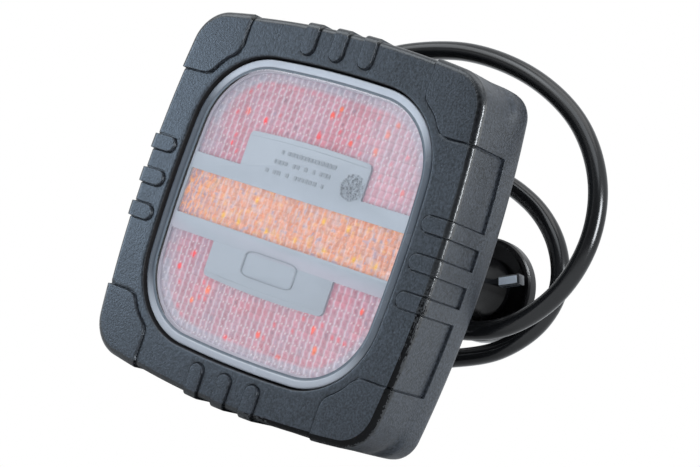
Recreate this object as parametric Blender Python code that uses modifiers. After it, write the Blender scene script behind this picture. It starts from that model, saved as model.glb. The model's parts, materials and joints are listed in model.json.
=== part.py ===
"""Square LED tail lamp for a trailer: a rubber bumper frame round a sealed lamp, on two magnet feet.

Frame of reference: the lamp's face looks along -Y, +X is to its right seen from the front, +Z is up.
The origin is the centre of the right-hand foot's contact face, on the contact plane of both
magnets (Y = 0). The pieces are laid out about the lamp's own centre line and moved in one step
at the end. Sizes are in millimetres, and depths are measured back from the front of the frame.
"""
import bpy
import bmesh
import math
from mathutils import Matrix, Vector

MM = 0.001


# ---- shared dimensions ----

def lamp_shape(half, corner_inset=26.0):
    """(half size at mid side, side radius, corner radius) of an outline round the lamp."""
    return (half, 450.0, half - corner_inset)


TOTAL_DEPTH = 77.5          # front of the frame to the magnets' contact plane
FOOT_X = 48.0               # each foot's axis from the lamp's centre line
FOOT_SPOTS = ((-FOOT_X, 0), (FOOT_X, 0))
STUD_R = 3.0
STUD_HOLE_R = STUD_R + 0.4
# places (x, z)
BOARD_POSTS = {"top": (0, 46), "bottom": (0, -46)}
PLATE_SCREWS = {"bottom_left": (-36, -20), "bottom_right": (36, -20),
                "top_left": (-36, 20), "top_right": (36, 20)}
BREATHER_SPOT = (22, 34)
# cable box behind the housing, and the gland on its top
BOX_X, BOX_Z, BOX_DEPTHS = (-34.0, -12.6), (-10.0, 12.0), (31.0, 56.0)
GLAND_X, GLAND_DEPTH = -23.3, 45.0
SHARP_ANGLE = 35.0          # degrees; flatter edges are shaded smooth

FACING = (math.pi / 2, 0, 0)        # local +Z towards the front of the lamp
LEFTWARD = (0, -math.pi / 2, 0)     # local +Z towards -X

# ---- scene and materials ----
for old in list(bpy.data.objects):
    bpy.data.objects.remove(old, do_unlink=True)

scene = bpy.context.scene
parts = bpy.data.collections.new("trailer_tail_light")
cutters = bpy.data.collections.new("cutters")
scene.collection.children.link(parts)
scene.collection.children.link(cutters)
cutters.hide_render = True

materials = {}


def material(name, colour, roughness, metallic=0.0, alpha=1.0):
    made = bpy.data.materials.new(name)
    made.use_nodes = True
    inputs = made.node_tree.nodes["Principled BSDF"].inputs
    inputs["Base Color"].default_value = (*colour, 1.0)
    inputs["Roughness"].default_value = roughness
    inputs["Metallic"].default_value = metallic
    inputs["Alpha"].default_value = alpha
    made.diffuse_color = (*colour, alpha)
    materials[name] = made


material("frame_rubber", colour=(0.045, 0.048, 0.052), roughness=0.62)
material("lens_clear", colour=(0.75, 0.80, 0.84), roughness=0.08, alpha=0.25)
material("mask_grey", colour=(0.33, 0.37, 0.40), roughness=0.45)
material("optic_red", colour=(0.75, 0.22, 0.22), roughness=0.2)
material("optic_amber", colour=(0.92, 0.50, 0.22), roughness=0.2)
material("housing_black", colour=(0.030, 0.030, 0.032), roughness=0.5)
material("board_green", colour=(0.03, 0.18, 0.09), roughness=0.45)
material("led_red", colour=(0.85, 0.08, 0.06), roughness=0.25)
material("led_amber", colour=(0.95, 0.55, 0.08), roughness=0.25)
material("seal_rubber", colour=(0.02, 0.02, 0.02), roughness=0.8)
material("steel_zinc", colour=(0.62, 0.63, 0.64), roughness=0.35, metallic=1.0)
material("hub_plastic", colour=(0.025, 0.025, 0.027), roughness=0.28)
material("boot_rubber", colour=(0.02, 0.02, 0.021), roughness=0.6)
material("magnet_grey", colour=(0.30, 0.30, 0.31), roughness=0.5, metallic=0.6)
material("cable_sheath", colour=(0.022, 0.022, 0.024), roughness=0.3)
material("plug_plastic", colour=(0.035, 0.035, 0.037), roughness=0.4)
material("pin_brass", colour=(0.75, 0.58, 0.26), roughness=0.25, metallic=1.0)


# ---- outlines: points (x, z) ----
SIDE_STEPS, CORNER_STEPS = 6, 5     # of a bowed square


def quarter_turned(points, quarters):
    """The points turned about the centre, from +X towards +Z."""
    turn = quarters * math.pi / 2
    cos, sin = math.cos(turn), math.sin(turn)
    return [(x * cos - z * sin, x * sin + z * cos) for x, z in points]


def bowed_square(shape):
    """A square with outward-bowed sides and round corners, anticlockwise from the right side."""
    half, side_r, corner_r = shape
    setback = side_r - half         # the side arc's centre lies this far beyond the middle
    spare = (side_r - corner_r) ** 2 - setback ** 2
    # the corner arc, centred at (corner, corner), runs on smoothly from the side arc
    corner = (-2 * setback + math.sqrt(4 * setback ** 2 + 8 * spare)) / 4
    swing = math.atan2(corner, corner + setback)
    side = []
    for i in range(SIDE_STEPS):
        angle = -swing + 2 * swing * i / SIDE_STEPS
        side.append((half - side_r + side_r * math.cos(angle), side_r * math.sin(angle)))
    for i in range(CORNER_STEPS):
        angle = swing + (math.pi / 2 - 2 * swing) * i / CORNER_STEPS
        side.append((corner + corner_r * math.cos(angle), corner + corner_r * math.sin(angle)))
    return [point for quarter in range(4) for point in quarter_turned(side, quarter)]


def clipped(points, above=None, below=None):
    """The part of a closed outline between two heights."""
    for limit, sign in ((above, 1), (below, -1)):
        if limit is None:
            continue
        kept = []
        for i, here in enumerate(points):
            after = points[(i + 1) % len(points)]
            here_inside = sign * (here[1] - limit) >= 0
            after_inside = sign * (after[1] - limit) >= 0
            if here_inside:
                kept.append(here)
            if here_inside != after_inside:
                share = (limit - here[1]) / (after[1] - here[1])
                kept.append((here[0] + share * (after[0] - here[0]), limit))
        points = kept
    return points


def rounded_rect(x_range, z_range, radius, steps):
    (x0, x1), (z0, z1) = x_range, z_range
    corners = ((x1 - radius, z1 - radius), (x0 + radius, z1 - radius),
               (x0 + radius, z0 + radius), (x1 - radius, z0 + radius))
    points = []
    for quarter, (x, z) in enumerate(corners):
        for i in range(steps + 1):
            angle = math.radians(90 * quarter + 90 * i / steps)
            points.append((x + radius * math.cos(angle), z + radius * math.sin(angle)))
    return points


def circle(x, z, radius, steps):
    angles = [2 * math.pi * i / steps for i in range(steps)]
    return [(x + radius * math.cos(angle), z + radius * math.sin(angle)) for angle in angles]


# ---- solids: one made without a material is a hidden helper for booleans ----

def at(x, z, depth):
    """The scene position, in metres, of a place on the lamp."""
    return (x * MM, (depth - TOTAL_DEPTH) * MM, z * MM)


def register(obj, mat_name):
    if mat_name is None:
        cutters.objects.link(obj)
        obj.hide_render = True
        obj.display_type = 'WIRE'
    else:
        parts.objects.link(obj)
        obj.data.materials.clear()
        obj.data.materials.append(materials[mat_name])
    return obj


def from_bmesh(name, bm, location, mat_name, rotation=(0, 0, 0)):
    mesh = bpy.data.meshes.new(name)
    bm.to_mesh(mesh)
    bm.free()
    obj = bpy.data.objects.new(name, mesh)
    obj.location = location
    obj.rotation_euler = rotation
    return register(obj, mat_name)


def from_curve(curve, mat_name, location=(0, 0, 0), rotation=(0, 0, 0)):
    """The solid that a curve makes, as a welded mesh object with the curve's name."""
    source = bpy.data.objects.new(curve.name, curve)
    source.location = location
    source.rotation_euler = rotation
    scene.collection.objects.link(source)
    bpy.context.view_layer.update()
    graph = bpy.context.evaluated_depsgraph_get()
    mesh = bpy.data.meshes.new_from_object(source.evaluated_get(graph))
    name, world = source.name, source.matrix_world.copy()
    bpy.data.objects.remove(source, do_unlink=True)
    bm = bmesh.new()
    bm.from_mesh(mesh)
    bmesh.ops.remove_doubles(bm, verts=bm.verts, dist=1e-6)
    bmesh.ops.recalc_face_normals(bm, faces=bm.faces)
    bm.to_mesh(mesh)
    bm.free()
    obj = bpy.data.objects.new(name, mesh)
    obj.matrix_world = world
    return register(obj, mat_name)


def add_line(curve, points, cyclic):
    """Adds a straight-sided spline through the points, given in metres."""
    spline = curve.splines.new('POLY')
    spline.points.add(len(points) - 1)
    for target, point in zip(spline.points, points):
        target.co = (*point, 1)
    spline.use_cyclic_u = cyclic


def slab(name, outlines, depths, mat_name=None, rounding=0.0):
    """A flat outline, with any holes as further outlines, its edges rounded outwards."""
    front, back = depths
    curve = bpy.data.curves.new(name, 'CURVE')
    curve.dimensions = '2D'
    curve.fill_mode = 'BOTH'
    for points in outlines:
        add_line(curve, [(x * MM, z * MM, 0) for x, z in points], cyclic=True)
    curve.extrude = ((back - front) / 2 - rounding) * MM
    curve.bevel_depth = rounding * MM
    curve.bevel_resolution = 1 if rounding > 1.0 else 0
    return from_curve(curve, mat_name, at(0, 0, (front + back) / 2), FACING)


def bowed_slab(name, shape, depths, mat_name=None, rounding=0.0):
    """A bowed square slab whose full size, with its rounded edges, is the shape's."""
    outline = bowed_square([size - rounding for size in shape])
    return slab(name, [outline], depths, mat_name, rounding)


def rod(name, spot, radius, depths, steps):
    """A round helper along Y."""
    front, back = depths
    bm = bmesh.new()
    bmesh.ops.create_cone(bm, cap_ends=True, segments=steps, radius1=radius * MM,
                          radius2=radius * MM, depth=(back - front) * MM,
                          matrix=Matrix.Rotation(math.pi / 2, 4, 'X'))
    return from_bmesh(name, bm, at(*spot, (front + back) / 2), None)


def box(name, x_range, z_range, depths, mat_name=None, rotation=(0, 0, 0)):
    (x0, x1), (z0, z1), (front, back) = x_range, z_range, depths
    size = ((x1 - x0) * MM, (back - front) * MM, (z1 - z0) * MM, 1)
    bm = bmesh.new()
    bmesh.ops.create_cube(bm, size=1.0, matrix=Matrix.Diagonal(size))
    centre = at((x0 + x1) / 2, (z0 + z1) / 2, (front + back) / 2)
    return from_bmesh(name, bm, centre, mat_name, rotation)


def turned(name, profile, location, rotation, mat_name=None, steps=20):
    """A turned shape from (radius, height) points. A profile that starts on the axis stays open."""
    bm = bmesh.new()
    line = [bm.verts.new((radius * MM, 0, height * MM)) for radius, height in profile]
    for start, end in zip(line, line[1:]):
        bm.edges.new((start, end))
    if profile[0][0] > 0:
        bm.edges.new((line[-1], line[0]))
    obj = from_bmesh(name, bm, location, mat_name, rotation)
    screw = obj.modifiers.new("turn", 'SCREW')
    screw.axis = 'Z'
    screw.steps = steps
    screw.render_steps = steps
    screw.use_merge_vertices = True
    screw.merge_threshold = 1e-5
    screw.use_normal_calculate = False
    return obj


def turned_back(name, profile, spot, mat_name, steps=20):
    """A shape turned about a Y axis, from (radius, depth) points."""
    heights = [(radius, TOTAL_DEPTH - depth) for radius, depth in profile]
    return turned(name, heights, at(*spot, TOTAL_DEPTH), FACING, mat_name, steps)


def sleeve(inner_r, outer_r, start, end):
    """The profile of a plain sleeve, or of a bar if the inner radius is 0."""
    return [(inner_r, start), (outer_r, start), (outer_r, end), (inner_r, end)]


def boolean(obj, other, operation):
    modifier = obj.modifiers.new(operation.lower() + "_" + other.name, 'BOOLEAN')
    modifier.operation = operation
    modifier.object = other
    modifier.solver = 'EXACT'


def boolean_rods(obj, operation, prefix, spots, radius, depths, steps):
    for i, spot in enumerate(spots):
        boolean(obj, rod(f"{prefix}_{i}", spot, radius, depths, steps), operation)


def bevel(obj, width):
    modifier = obj.modifiers.new("edges", 'BEVEL')
    modifier.width = width * MM
    modifier.segments = 1
    modifier.limit_method = 'ANGLE'


# ---- rubber frame ----
FRAME_DEPTH = 31.0
BASE_SHAPE, BASE_DEPTHS = (72.3, 429.0, 14.6), (1.0, FRAME_DEPTH - 0.6)
RAISED_SHAPE, RAISED_DEPTHS = (73.2, 430.0, 15.5), (0.0, 26.0)
BAND_SHAPE, BAND_DEPTHS = (73.4, 430.0, 11.0), (21.2, FRAME_DEPTH)
OPENING_SHAPE, OPENING_DEPTHS = lamp_shape(57.7, 26.1), (-6.0, 40.0)
GROOVE_SHAPE, GROOVE_DEPTHS = lamp_shape(60.7, 26.1), (14.0, 19.0)
RELIEF_DEPTHS = (-6.0, 22.4)
# tabs, three to a side; their outlines run out past the frame
TAB_PITCH, TAB_WIDTH, TAB_REACH = 13.8, 5.9, 60.4
TAB_END_LENGTH, TAB_OUTSIDE = 2.6, 80.0
# corner pads
PAD_EDGE, PAD_SHOULDER, PAD_OUTSIDE = 44.5, 59.2, 90.0
PAD_INNER = (43.3, 56.1)            # the upper end of the diagonal edge; the lower end mirrors it
PAD_EASE = (0.3, 1.3)               # from that end to the next point of the outline
PAD_HOLLOW = 1.1
PAD_SHARES = (0.08, 0.3, 0.5, 0.7, 0.92)    # places of the points along the diagonal edge


def tab_outline(side, centre):
    """A tab with a rounded inner end. side counts quarter turns from the right-hand side."""
    half = TAB_WIDTH / 2
    points = [(TAB_OUTSIDE, centre - half), (TAB_OUTSIDE, centre + half)]
    for i in range(7):
        angle = math.pi / 2 + math.pi * i / 6
        points.append((TAB_REACH + TAB_END_LENGTH + TAB_END_LENGTH * math.cos(angle),
                       centre + half * math.sin(angle)))
    return quarter_turned(points, side)


def pad_outline(corner):
    """A corner pad: straight out on both sides, with a slightly hollow diagonal inner edge."""
    near, far = PAD_INNER
    eased = (near + PAD_EASE[0], far + PAD_EASE[1])
    points = [(PAD_EDGE, PAD_OUTSIDE), (PAD_EDGE, PAD_SHOULDER), eased]
    for share in PAD_SHARES:
        hollow = PAD_HOLLOW * math.sin(math.pi * share)
        points.append((near + (far - near) * share + hollow, far + (near - far) * share + hollow))
    points += [eased[::-1], (PAD_SHOULDER, PAD_EDGE), (PAD_OUTSIDE, PAD_EDGE),
               (PAD_OUTSIDE, PAD_OUTSIDE)]
    return quarter_turned(points, corner)


def build_frame():
    outlines = [tab_outline(side, TAB_PITCH * i) for side in range(4) for i in (-1, 0, 1)]
    outlines += [pad_outline(corner) for corner in range(4)]
    frame = bowed_slab("rubber_frame", BASE_SHAPE, BASE_DEPTHS, "frame_rubber", rounding=1.6)
    raised = bowed_slab("frame_raised_level", RAISED_SHAPE, RAISED_DEPTHS, rounding=2.2)
    # only the tabs and pads of the raised level are kept
    boolean(raised, slab("frame_relief_outlines", outlines, RELIEF_DEPTHS), 'INTERSECT')
    band = bowed_slab("frame_rear_band", BAND_SHAPE, BAND_DEPTHS, rounding=0.8)
    boolean(frame, raised, 'UNION')
    boolean(frame, band, 'UNION')
    boolean(frame, bowed_slab("frame_opening", OPENING_SHAPE, OPENING_DEPTHS), 'DIFFERENCE')
    boolean(frame, bowed_slab("frame_groove", GROOVE_SHAPE, GROOVE_DEPTHS), 'DIFFERENCE')


# ---- lens and its seal ----
LENS_SHAPE, LENS_DEPTHS = lamp_shape(57.0), (3.5, 5.9)
PANE_SHAPE, PANE_DEPTHS = lamp_shape(53.4), (2.8, 4.9)
POCKET_SHAPE, POCKET_DEPTHS = lamp_shape(54.4), (5.2, 9.0)
SEAL_OUTER, SEAL_INNER, SEAL_DEPTHS = lamp_shape(56.7), lamp_shape(54.9), (6.2, 7.2)


def build_lens():
    lens = bowed_slab("outer_lens", LENS_SHAPE, LENS_DEPTHS, "lens_clear", rounding=0.5)
    boolean(lens, bowed_slab("lens_pane", PANE_SHAPE, PANE_DEPTHS, rounding=0.6), 'UNION')
    boolean(lens, bowed_slab("lens_pocket", POCKET_SHAPE, POCKET_DEPTHS), 'DIFFERENCE')
    slab("lens_seal", [bowed_square(SEAL_OUTER), bowed_square(SEAL_INNER)], SEAL_DEPTHS,
         "seal_rubber")


# ---- mask and optics ----
MASK_SHAPE, MASK_DEPTHS = lamp_shape(53.4), (5.6, 6.8)
WINDOW_SHAPE = lamp_shape(52.2)
AMBER_WINDOW_Z = (-9.4, 8.3)
# edge of each red window towards the middle, and how far the notch plate reaches into it
UPPER_Z, UPPER_NOTCH_Z = 14.7, 28.8
LOWER_Z, LOWER_NOTCH_Z = -15.8, -29.7
NOTCH_X, NOTCH_CORNER_R = 29.5, 2.0
NOTCH_ANGLES = (0.0, 0.5, 1.05, math.pi / 2)
OPTIC_SHAPE, OPTIC_DEPTHS = lamp_shape(53.2), (7.1, 9.3)
AMBER_OPTIC_Z, OPTIC_GAP = (-12.4, 11.3), 0.4


def notched(points, notch_z, edge_z):
    """A window outline cut at height edge_z, stepped round the notch plate up or down to notch_z."""
    sign = 1 if notch_z > edge_z else -1
    on_edge = [point for point in points if abs(point[1] - edge_z) < 1e-6]
    left, right = min(on_edge), max(on_edge)
    rest = [point for point in points if abs(point[1] - edge_z) >= 1e-6]
    rest.sort(key=lambda point: sign * math.atan2(point[1] - edge_z, point[0]))
    radius = NOTCH_CORNER_R
    notch = [(-NOTCH_X, edge_z)]
    notch += [(-NOTCH_X + radius - radius * math.cos(angle),
               notch_z - sign * (radius - radius * math.sin(angle))) for angle in NOTCH_ANGLES]
    notch += [(NOTCH_X - radius + radius * math.sin(angle),
               notch_z - sign * (radius - radius * math.cos(angle))) for angle in NOTCH_ANGLES]
    notch.append((NOTCH_X, edge_z))
    return [right] + rest + [left] + notch


def build_mask():
    window = bowed_square(WINDOW_SHAPE)
    upper = notched(clipped(window, above=UPPER_Z), UPPER_NOTCH_Z, UPPER_Z)
    amber = clipped(window, above=AMBER_WINDOW_Z[0], below=AMBER_WINDOW_Z[1])
    lower = notched(clipped(window, below=LOWER_Z), LOWER_NOTCH_Z, LOWER_Z)
    slab("light_mask", [bowed_square(MASK_SHAPE), upper, amber, lower], MASK_DEPTHS, "mask_grey")


def build_optics():
    outline = bowed_square(OPTIC_SHAPE)
    bottom, top = AMBER_OPTIC_Z
    for name, above, below, mat_name in (
            ("red_optic_upper", top + OPTIC_GAP, None, "optic_red"),
            ("amber_optic", bottom, top, "optic_amber"),
            ("red_optic_lower", None, bottom - OPTIC_GAP, "optic_red")):
        slab(name, [clipped(outline, above, below)], OPTIC_DEPTHS, mat_name)


# ---- board, its screws and LEDs ----
BOARD_SHAPE, BOARD_DEPTHS, BOARD_HOLE_R = lamp_shape(52.6), (14.0, 15.6), 1.7
RED_LED_SPOTS = ((-40, 24), (-17, 39), (17, 39), (40, 24))     # (x, z) of the upper ones
LED_MIDDLE_Z, AMBER_LED_X = -0.5, (-42, -21, 0, 21, 42)
LED_HALF, LED_DEPTHS, LED_BEVEL = 2.6, (12.0, 13.7), 0.5
# (radius, depth)
BOARD_SCREW = [(0, 11.9), (2.0, 11.9), (2.8, 12.6), (2.8, 13.7), (1.2, 13.7), (1.2, 20.6),
               (0, 21.4)]


def build_board():
    holes = [circle(x, z, BOARD_HOLE_R, 12) for x, z in BOARD_POSTS.values()]
    slab("led_board", [bowed_square(BOARD_SHAPE)] + holes, BOARD_DEPTHS, "board_green")
    for label, spot in BOARD_POSTS.items():
        turned_back("board_screw_" + label, BOARD_SCREW, spot, "steel_zinc", 12)


def build_leds():
    rows = (("red_led_upper", RED_LED_SPOTS, "led_red"),
            ("amber_led", [(x, LED_MIDDLE_Z) for x in AMBER_LED_X], "led_amber"),
            ("red_led_lower", [(x, 2 * LED_MIDDLE_Z - z) for x, z in RED_LED_SPOTS], "led_red"))
    for prefix, spots, mat_name in rows:
        for i, (x, z) in enumerate(spots, 1):
            led = box(f"{prefix}_{i}", (x - LED_HALF, x + LED_HALF), (z - LED_HALF, z + LED_HALF),
                      LED_DEPTHS, mat_name)
            bevel(led, LED_BEVEL)


# ---- housing ----
TUB_SHAPE, TUB_DEPTHS = lamp_shape(57.0), (7.5, 33.0)
HOLLOW_SHAPE, HOLLOW_DEPTHS = lamp_shape(54.2), (0.0, 30.0)
FLANGE_SHAPE, FLANGE_DEPTHS = lamp_shape(60.3, 26.1), (14.4, 18.6)
BOX_WALL, BOX_TOP_WALL, BOX_HOLLOW_FRONT = 2.2, 2.4, 26.0
POST_R, POST_DEPTHS = 3.2, (15.9, 31.0)
POST_BORE_R, POST_BORE_DEPTHS = 1.6, (10.0, 23.0)
BOSS_R, BOSS_DEPTHS = 4.2, (22.5, 31.0)
BOSS_BORE_R, BOSS_BORE_DEPTHS = 2.1, (24.6, 40.0)
FOOT_BOSS_X = (FOOT_X - 9.0, 55.6)          # on the right; runs into the tub's wall
FOOT_BOSS_Z, FOOT_BOSS_DEPTHS = (-9.5, 9.5), (24.8, 31.2)
NUT_POCKET_R, NUT_POCKET_DEPTHS = 6.7, (27.0, 41.0)
BREATHER_HOLE_R, BREATHER_HOLE_DEPTHS = 3.1, (25.0, 40.0)
GLAND_HOLE_R, GLAND_HOLE_LENGTH = 5.3, 12.0
# (radius, depth)
BREATHER_PLUG = [(0, 28.6), (2.7, 28.6), (2.7, 33.3), (5.2, 33.3), (5.2, 34.8), (4.4, 35.6),
                 (0, 35.6)]


def gland_hole():
    """A round cutter along Z through the cable box's top."""
    bm = bmesh.new()
    bmesh.ops.create_cone(bm, cap_ends=True, segments=20, radius1=GLAND_HOLE_R * MM,
                          radius2=GLAND_HOLE_R * MM, depth=GLAND_HOLE_LENGTH * MM)
    return from_bmesh("gland_hole", bm, at(GLAND_X, BOX_Z[1], GLAND_DEPTH), None)


def build_housing():
    posts, bosses = BOARD_POSTS.values(), PLATE_SCREWS.values()
    housing = bowed_slab("lamp_housing", TUB_SHAPE, TUB_DEPTHS, "housing_black")
    boolean(housing, bowed_slab("housing_flange", FLANGE_SHAPE, FLANGE_DEPTHS), 'UNION')
    boolean(housing, bowed_slab("housing_hollow", HOLLOW_SHAPE, HOLLOW_DEPTHS), 'DIFFERENCE')
    boolean(housing, box("cable_box", BOX_X, BOX_Z, BOX_DEPTHS), 'UNION')
    boolean_rods(housing, 'UNION', "board_post", posts, POST_R, POST_DEPTHS, 16)
    boolean_rods(housing, 'UNION', "plate_boss", bosses, BOSS_R, BOSS_DEPTHS, 16)
    inner, outer = FOOT_BOSS_X
    for i, x_range in enumerate(((-outer, -inner), (inner, outer))):
        boss = box(f"foot_boss_{i}", x_range, FOOT_BOSS_Z, FOOT_BOSS_DEPTHS)
        boolean(housing, boss, 'UNION')
    hollow = box("cable_box_hollow", (BOX_X[0] + BOX_WALL, BOX_X[1] - BOX_WALL),
                 (BOX_Z[0] + BOX_WALL, BOX_Z[1] - BOX_TOP_WALL),
                 (BOX_HOLLOW_FRONT, BOX_DEPTHS[1] - BOX_WALL))
    boolean(housing, hollow, 'DIFFERENCE')
    for prefix, spots, radius, depths, steps in (
            ("board_post_bore", posts, POST_BORE_R, POST_BORE_DEPTHS, 12),
            ("plate_boss_bore", bosses, BOSS_BORE_R, BOSS_BORE_DEPTHS, 12),
            ("nut_pocket", FOOT_SPOTS, NUT_POCKET_R, NUT_POCKET_DEPTHS, 18)):
        boolean_rods(housing, 'DIFFERENCE', prefix, spots, radius, depths, steps)
    breather = rod("breather_hole", BREATHER_SPOT, BREATHER_HOLE_R, BREATHER_HOLE_DEPTHS, 16)
    boolean(housing, breather, 'DIFFERENCE')
    boolean(housing, gland_hole(), 'DIFFERENCE')
    turned_back("breather_plug", BREATHER_PLUG, BREATHER_SPOT, "housing_black")


# ---- cable gland: (radius, height above the cable box) ----
GLAND_BODY = [(5.9, 9.6), (5.9, 3.6), (8.3, 3.6), (8.3, 0.4), (4.9, 0.4), (4.9, -5.0),
              (3.9, -5.0), (3.9, 4.4), (5.1, 4.4), (5.1, 9.6)]
GLAND_SEAL = sleeve(3.8, 4.8, 9.9, 4.8)
GLAND_NUT = [(3.9, 12.6), (5.6, 12.6), (7.9, 10.4), (7.9, 4.0), (6.3, 4.0), (6.3, 10.2),
             (3.9, 10.2)]


def build_gland():
    for name, profile, mat_name, steps in (("gland_body", GLAND_BODY, "plug_plastic", 20),
                                           ("gland_seal", GLAND_SEAL, "seal_rubber", 16),
                                           ("gland_nut", GLAND_NUT, "plug_plastic", 20)):
        turned(name, profile, at(GLAND_X, BOX_Z[1], GLAND_DEPTH), (0, 0, 0), mat_name, steps)


# ---- mounting plate and its screws ----
PLATE_X, PLATE_Z, PLATE_CORNER_R, PLATE_DEPTHS = (-64, 64), (-27, 27), 10, (33.4, 35.4)
BOX_CLEARANCE, BOX_HOLE_CORNER_R = 0.8, 0.6
PLATE_SCREW_HOLE_R = 2.2
# (radius, depth)
PLATE_SCREW = [(0, 25.4), (1.0, 25.4), (1.75, 26.6), (1.75, 35.7), (3.7, 35.7), (3.5, 37.2),
               (2.4, 37.9), (0, 37.9)]


def build_plate():
    outlines = [rounded_rect(PLATE_X, PLATE_Z, PLATE_CORNER_R, 5),
                rounded_rect((BOX_X[0] - BOX_CLEARANCE, BOX_X[1] + BOX_CLEARANCE),
                             (BOX_Z[0] - BOX_CLEARANCE, BOX_Z[1] + BOX_CLEARANCE),
                             BOX_HOLE_CORNER_R, 2)]
    outlines += [circle(x, z, STUD_HOLE_R, 28) for x, z in FOOT_SPOTS]
    outlines += [circle(x, z, PLATE_SCREW_HOLE_R, 16) for x, z in PLATE_SCREWS.values()]
    slab("mounting_plate", outlines, PLATE_DEPTHS, "steel_zinc")
    for label, spot in PLATE_SCREWS.items():
        turned_back("plate_screw_" + label, PLATE_SCREW, spot, "steel_zinc", 12)


# ---- magnet feet: profiles are (radius, depth) ----
HUB_R, RING_R = 10.0, 12.25
HUB = [(0, 36.9), (9.2, 36.9), (HUB_R, 37.7), (HUB_R, 56.0), (10.25, 60.0), (10.8, 63.5),
       (11.5, 66.4), (RING_R, 68.5), (RING_R, 71.3), (0, 71.3)]
HUB_BORE_DEPTHS = (30.0, 80.0)
BOOT_R = 20.1
BOOT = [(6.1, 71.8), (18.9, 71.8), (BOOT_R, 72.9), (BOOT_R, 76.6), (19.3, TOTAL_DEPTH),
        (0, TOTAL_DEPTH), (0, 76.7), (18.6, 76.7), (18.6, 72.9), (6.1, 72.9)]
POT = [(STUD_HOLE_R, 71.7), (5.7, 71.7), (5.7, 73.2), (18.3, 73.2), (18.3, 76.4), (16.4, 76.4),
       (16.4, 74.5), (STUD_HOLE_R, 74.5)]
STUD = [(0, 27.6), (2.4, 27.6), (STUD_R, 28.2), (STUD_R, 74.8), (5.6, 74.8), (5.6, 76.3),
        (0, 76.3)]
# name, profile, material, steps
FOOT_PIECES = (
    ("boot", BOOT, "boot_rubber", 28),
    ("pot", POT, "steel_zinc", 20),
    ("magnet", sleeve(6.4, 16.1, 74.8, 76.3), "magnet_grey", 20),
    ("stud", STUD, "steel_zinc", 20),
    ("washer", sleeve(STUD_HOLE_R, 8.6, 35.7, 36.6), "steel_zinc", 20),
)
BAR_LENGTH, BAR_WIDTH, BAR_DEPTHS = 39.2, 4.0, (64.4, 68.6)
BAR_TURN, BAR_BEVEL = 23.0, 0.7         # degrees, mm
NUT_CORNER_R, NUT_HOLE_R, NUT_DEPTHS = 5.77, STUD_R + 0.35, (28.3, 33.1)


def build_hub(side, x):
    hub = turned_back(f"foot_{side}_hub", HUB, (x, 0), "hub_plastic", 24)
    bar = box("grip_bar_" + side, (x - BAR_LENGTH / 2, x + BAR_LENGTH / 2),
              (-BAR_WIDTH / 2, BAR_WIDTH / 2), BAR_DEPTHS,
              rotation=(0, -math.radians(BAR_TURN), 0))
    bevel(bar, BAR_BEVEL)
    boolean(hub, bar, 'UNION')
    bore = rod("hub_bore_" + side, (x, 0), STUD_HOLE_R, HUB_BORE_DEPTHS, 24)
    boolean(hub, bore, 'DIFFERENCE')


def build_foot(side, x):
    axis = bpy.data.objects.new(f"foot_{side}_axis", None)
    axis.location = at(x, 0, TOTAL_DEPTH)
    parts.objects.link(axis)
    build_hub(side, x)
    for piece, profile, mat_name, steps in FOOT_PIECES:
        turned_back(f"foot_{side}_{piece}", profile, (x, 0), mat_name, steps)
    slab(f"foot_{side}_nut", [circle(x, 0, NUT_CORNER_R, 6), circle(x, 0, NUT_HOLE_R, 20)],
         NUT_DEPTHS, "steel_zinc")


# ---- cable ----
CABLE_R = 3.4
STEPS_PER_STATION = 2
# stations (x, z, depth), from the cable box to the plug
ROUTE = [
    (-23.3, 1, 45), (-23.3, 14, 45), (-23.3, 27, 45), (-23.3, 40, 45), (-21, 55.5, 45),
    (-14.5, 68.5, 45), (-3.5, 76.5, 45), (25, 82.5, 45), (54.5, 79.2, 45), (79.5, 67.4, 45),
    (95.3, 48.4, 45), (100, 26, 45), (93.4, 4, 45), (76, -12.4, 45.5), (50, -18.5, 47),
    (24, -13, 51.5), (8.5, 8, 56), (17, 33, 60), (40, 40.8, 62), (60.7, 36.2, 62.5),
    (76.1, 25, 63), (83.6, 9.6, 63.5), (80.3, -6.2, 64), (67.6, -20, 64.5), (49, -28.7, 65),
    (32, -33.8, 63.5), (19, -39, 61), (8, -42.2, 59.6), (-3, -42.5, 59.5), (-15, -42.5, 59.5),
]


def through(stations, steps):
    """A smooth Catmull-Rom line through the stations, with equal steps between each two."""
    points = [Vector(station) for station in stations]
    points = [2 * points[0] - points[1]] + points + [2 * points[-1] - points[-2]]
    line = []
    for before, start, end, after in zip(points, points[1:], points[2:], points[3:]):
        for i in range(steps):
            t = i / steps
            line.append(0.5 * (2 * start + (end - before) * t
                               + (2 * before - 5 * start + 4 * end - after) * t * t
                               + (3 * start - before - 3 * end + after) * t ** 3))
    return line + [points[-2]]


def build_cable():
    curve = bpy.data.curves.new("cable", 'CURVE')
    curve.dimensions = '3D'
    curve.bevel_depth = CABLE_R * MM
    curve.bevel_resolution = 2
    curve.use_fill_caps = True
    add_line(curve, [at(*point) for point in through(ROUTE, STEPS_PER_STATION)], cyclic=False)
    from_curve(curve, "cable_sheath")


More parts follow.
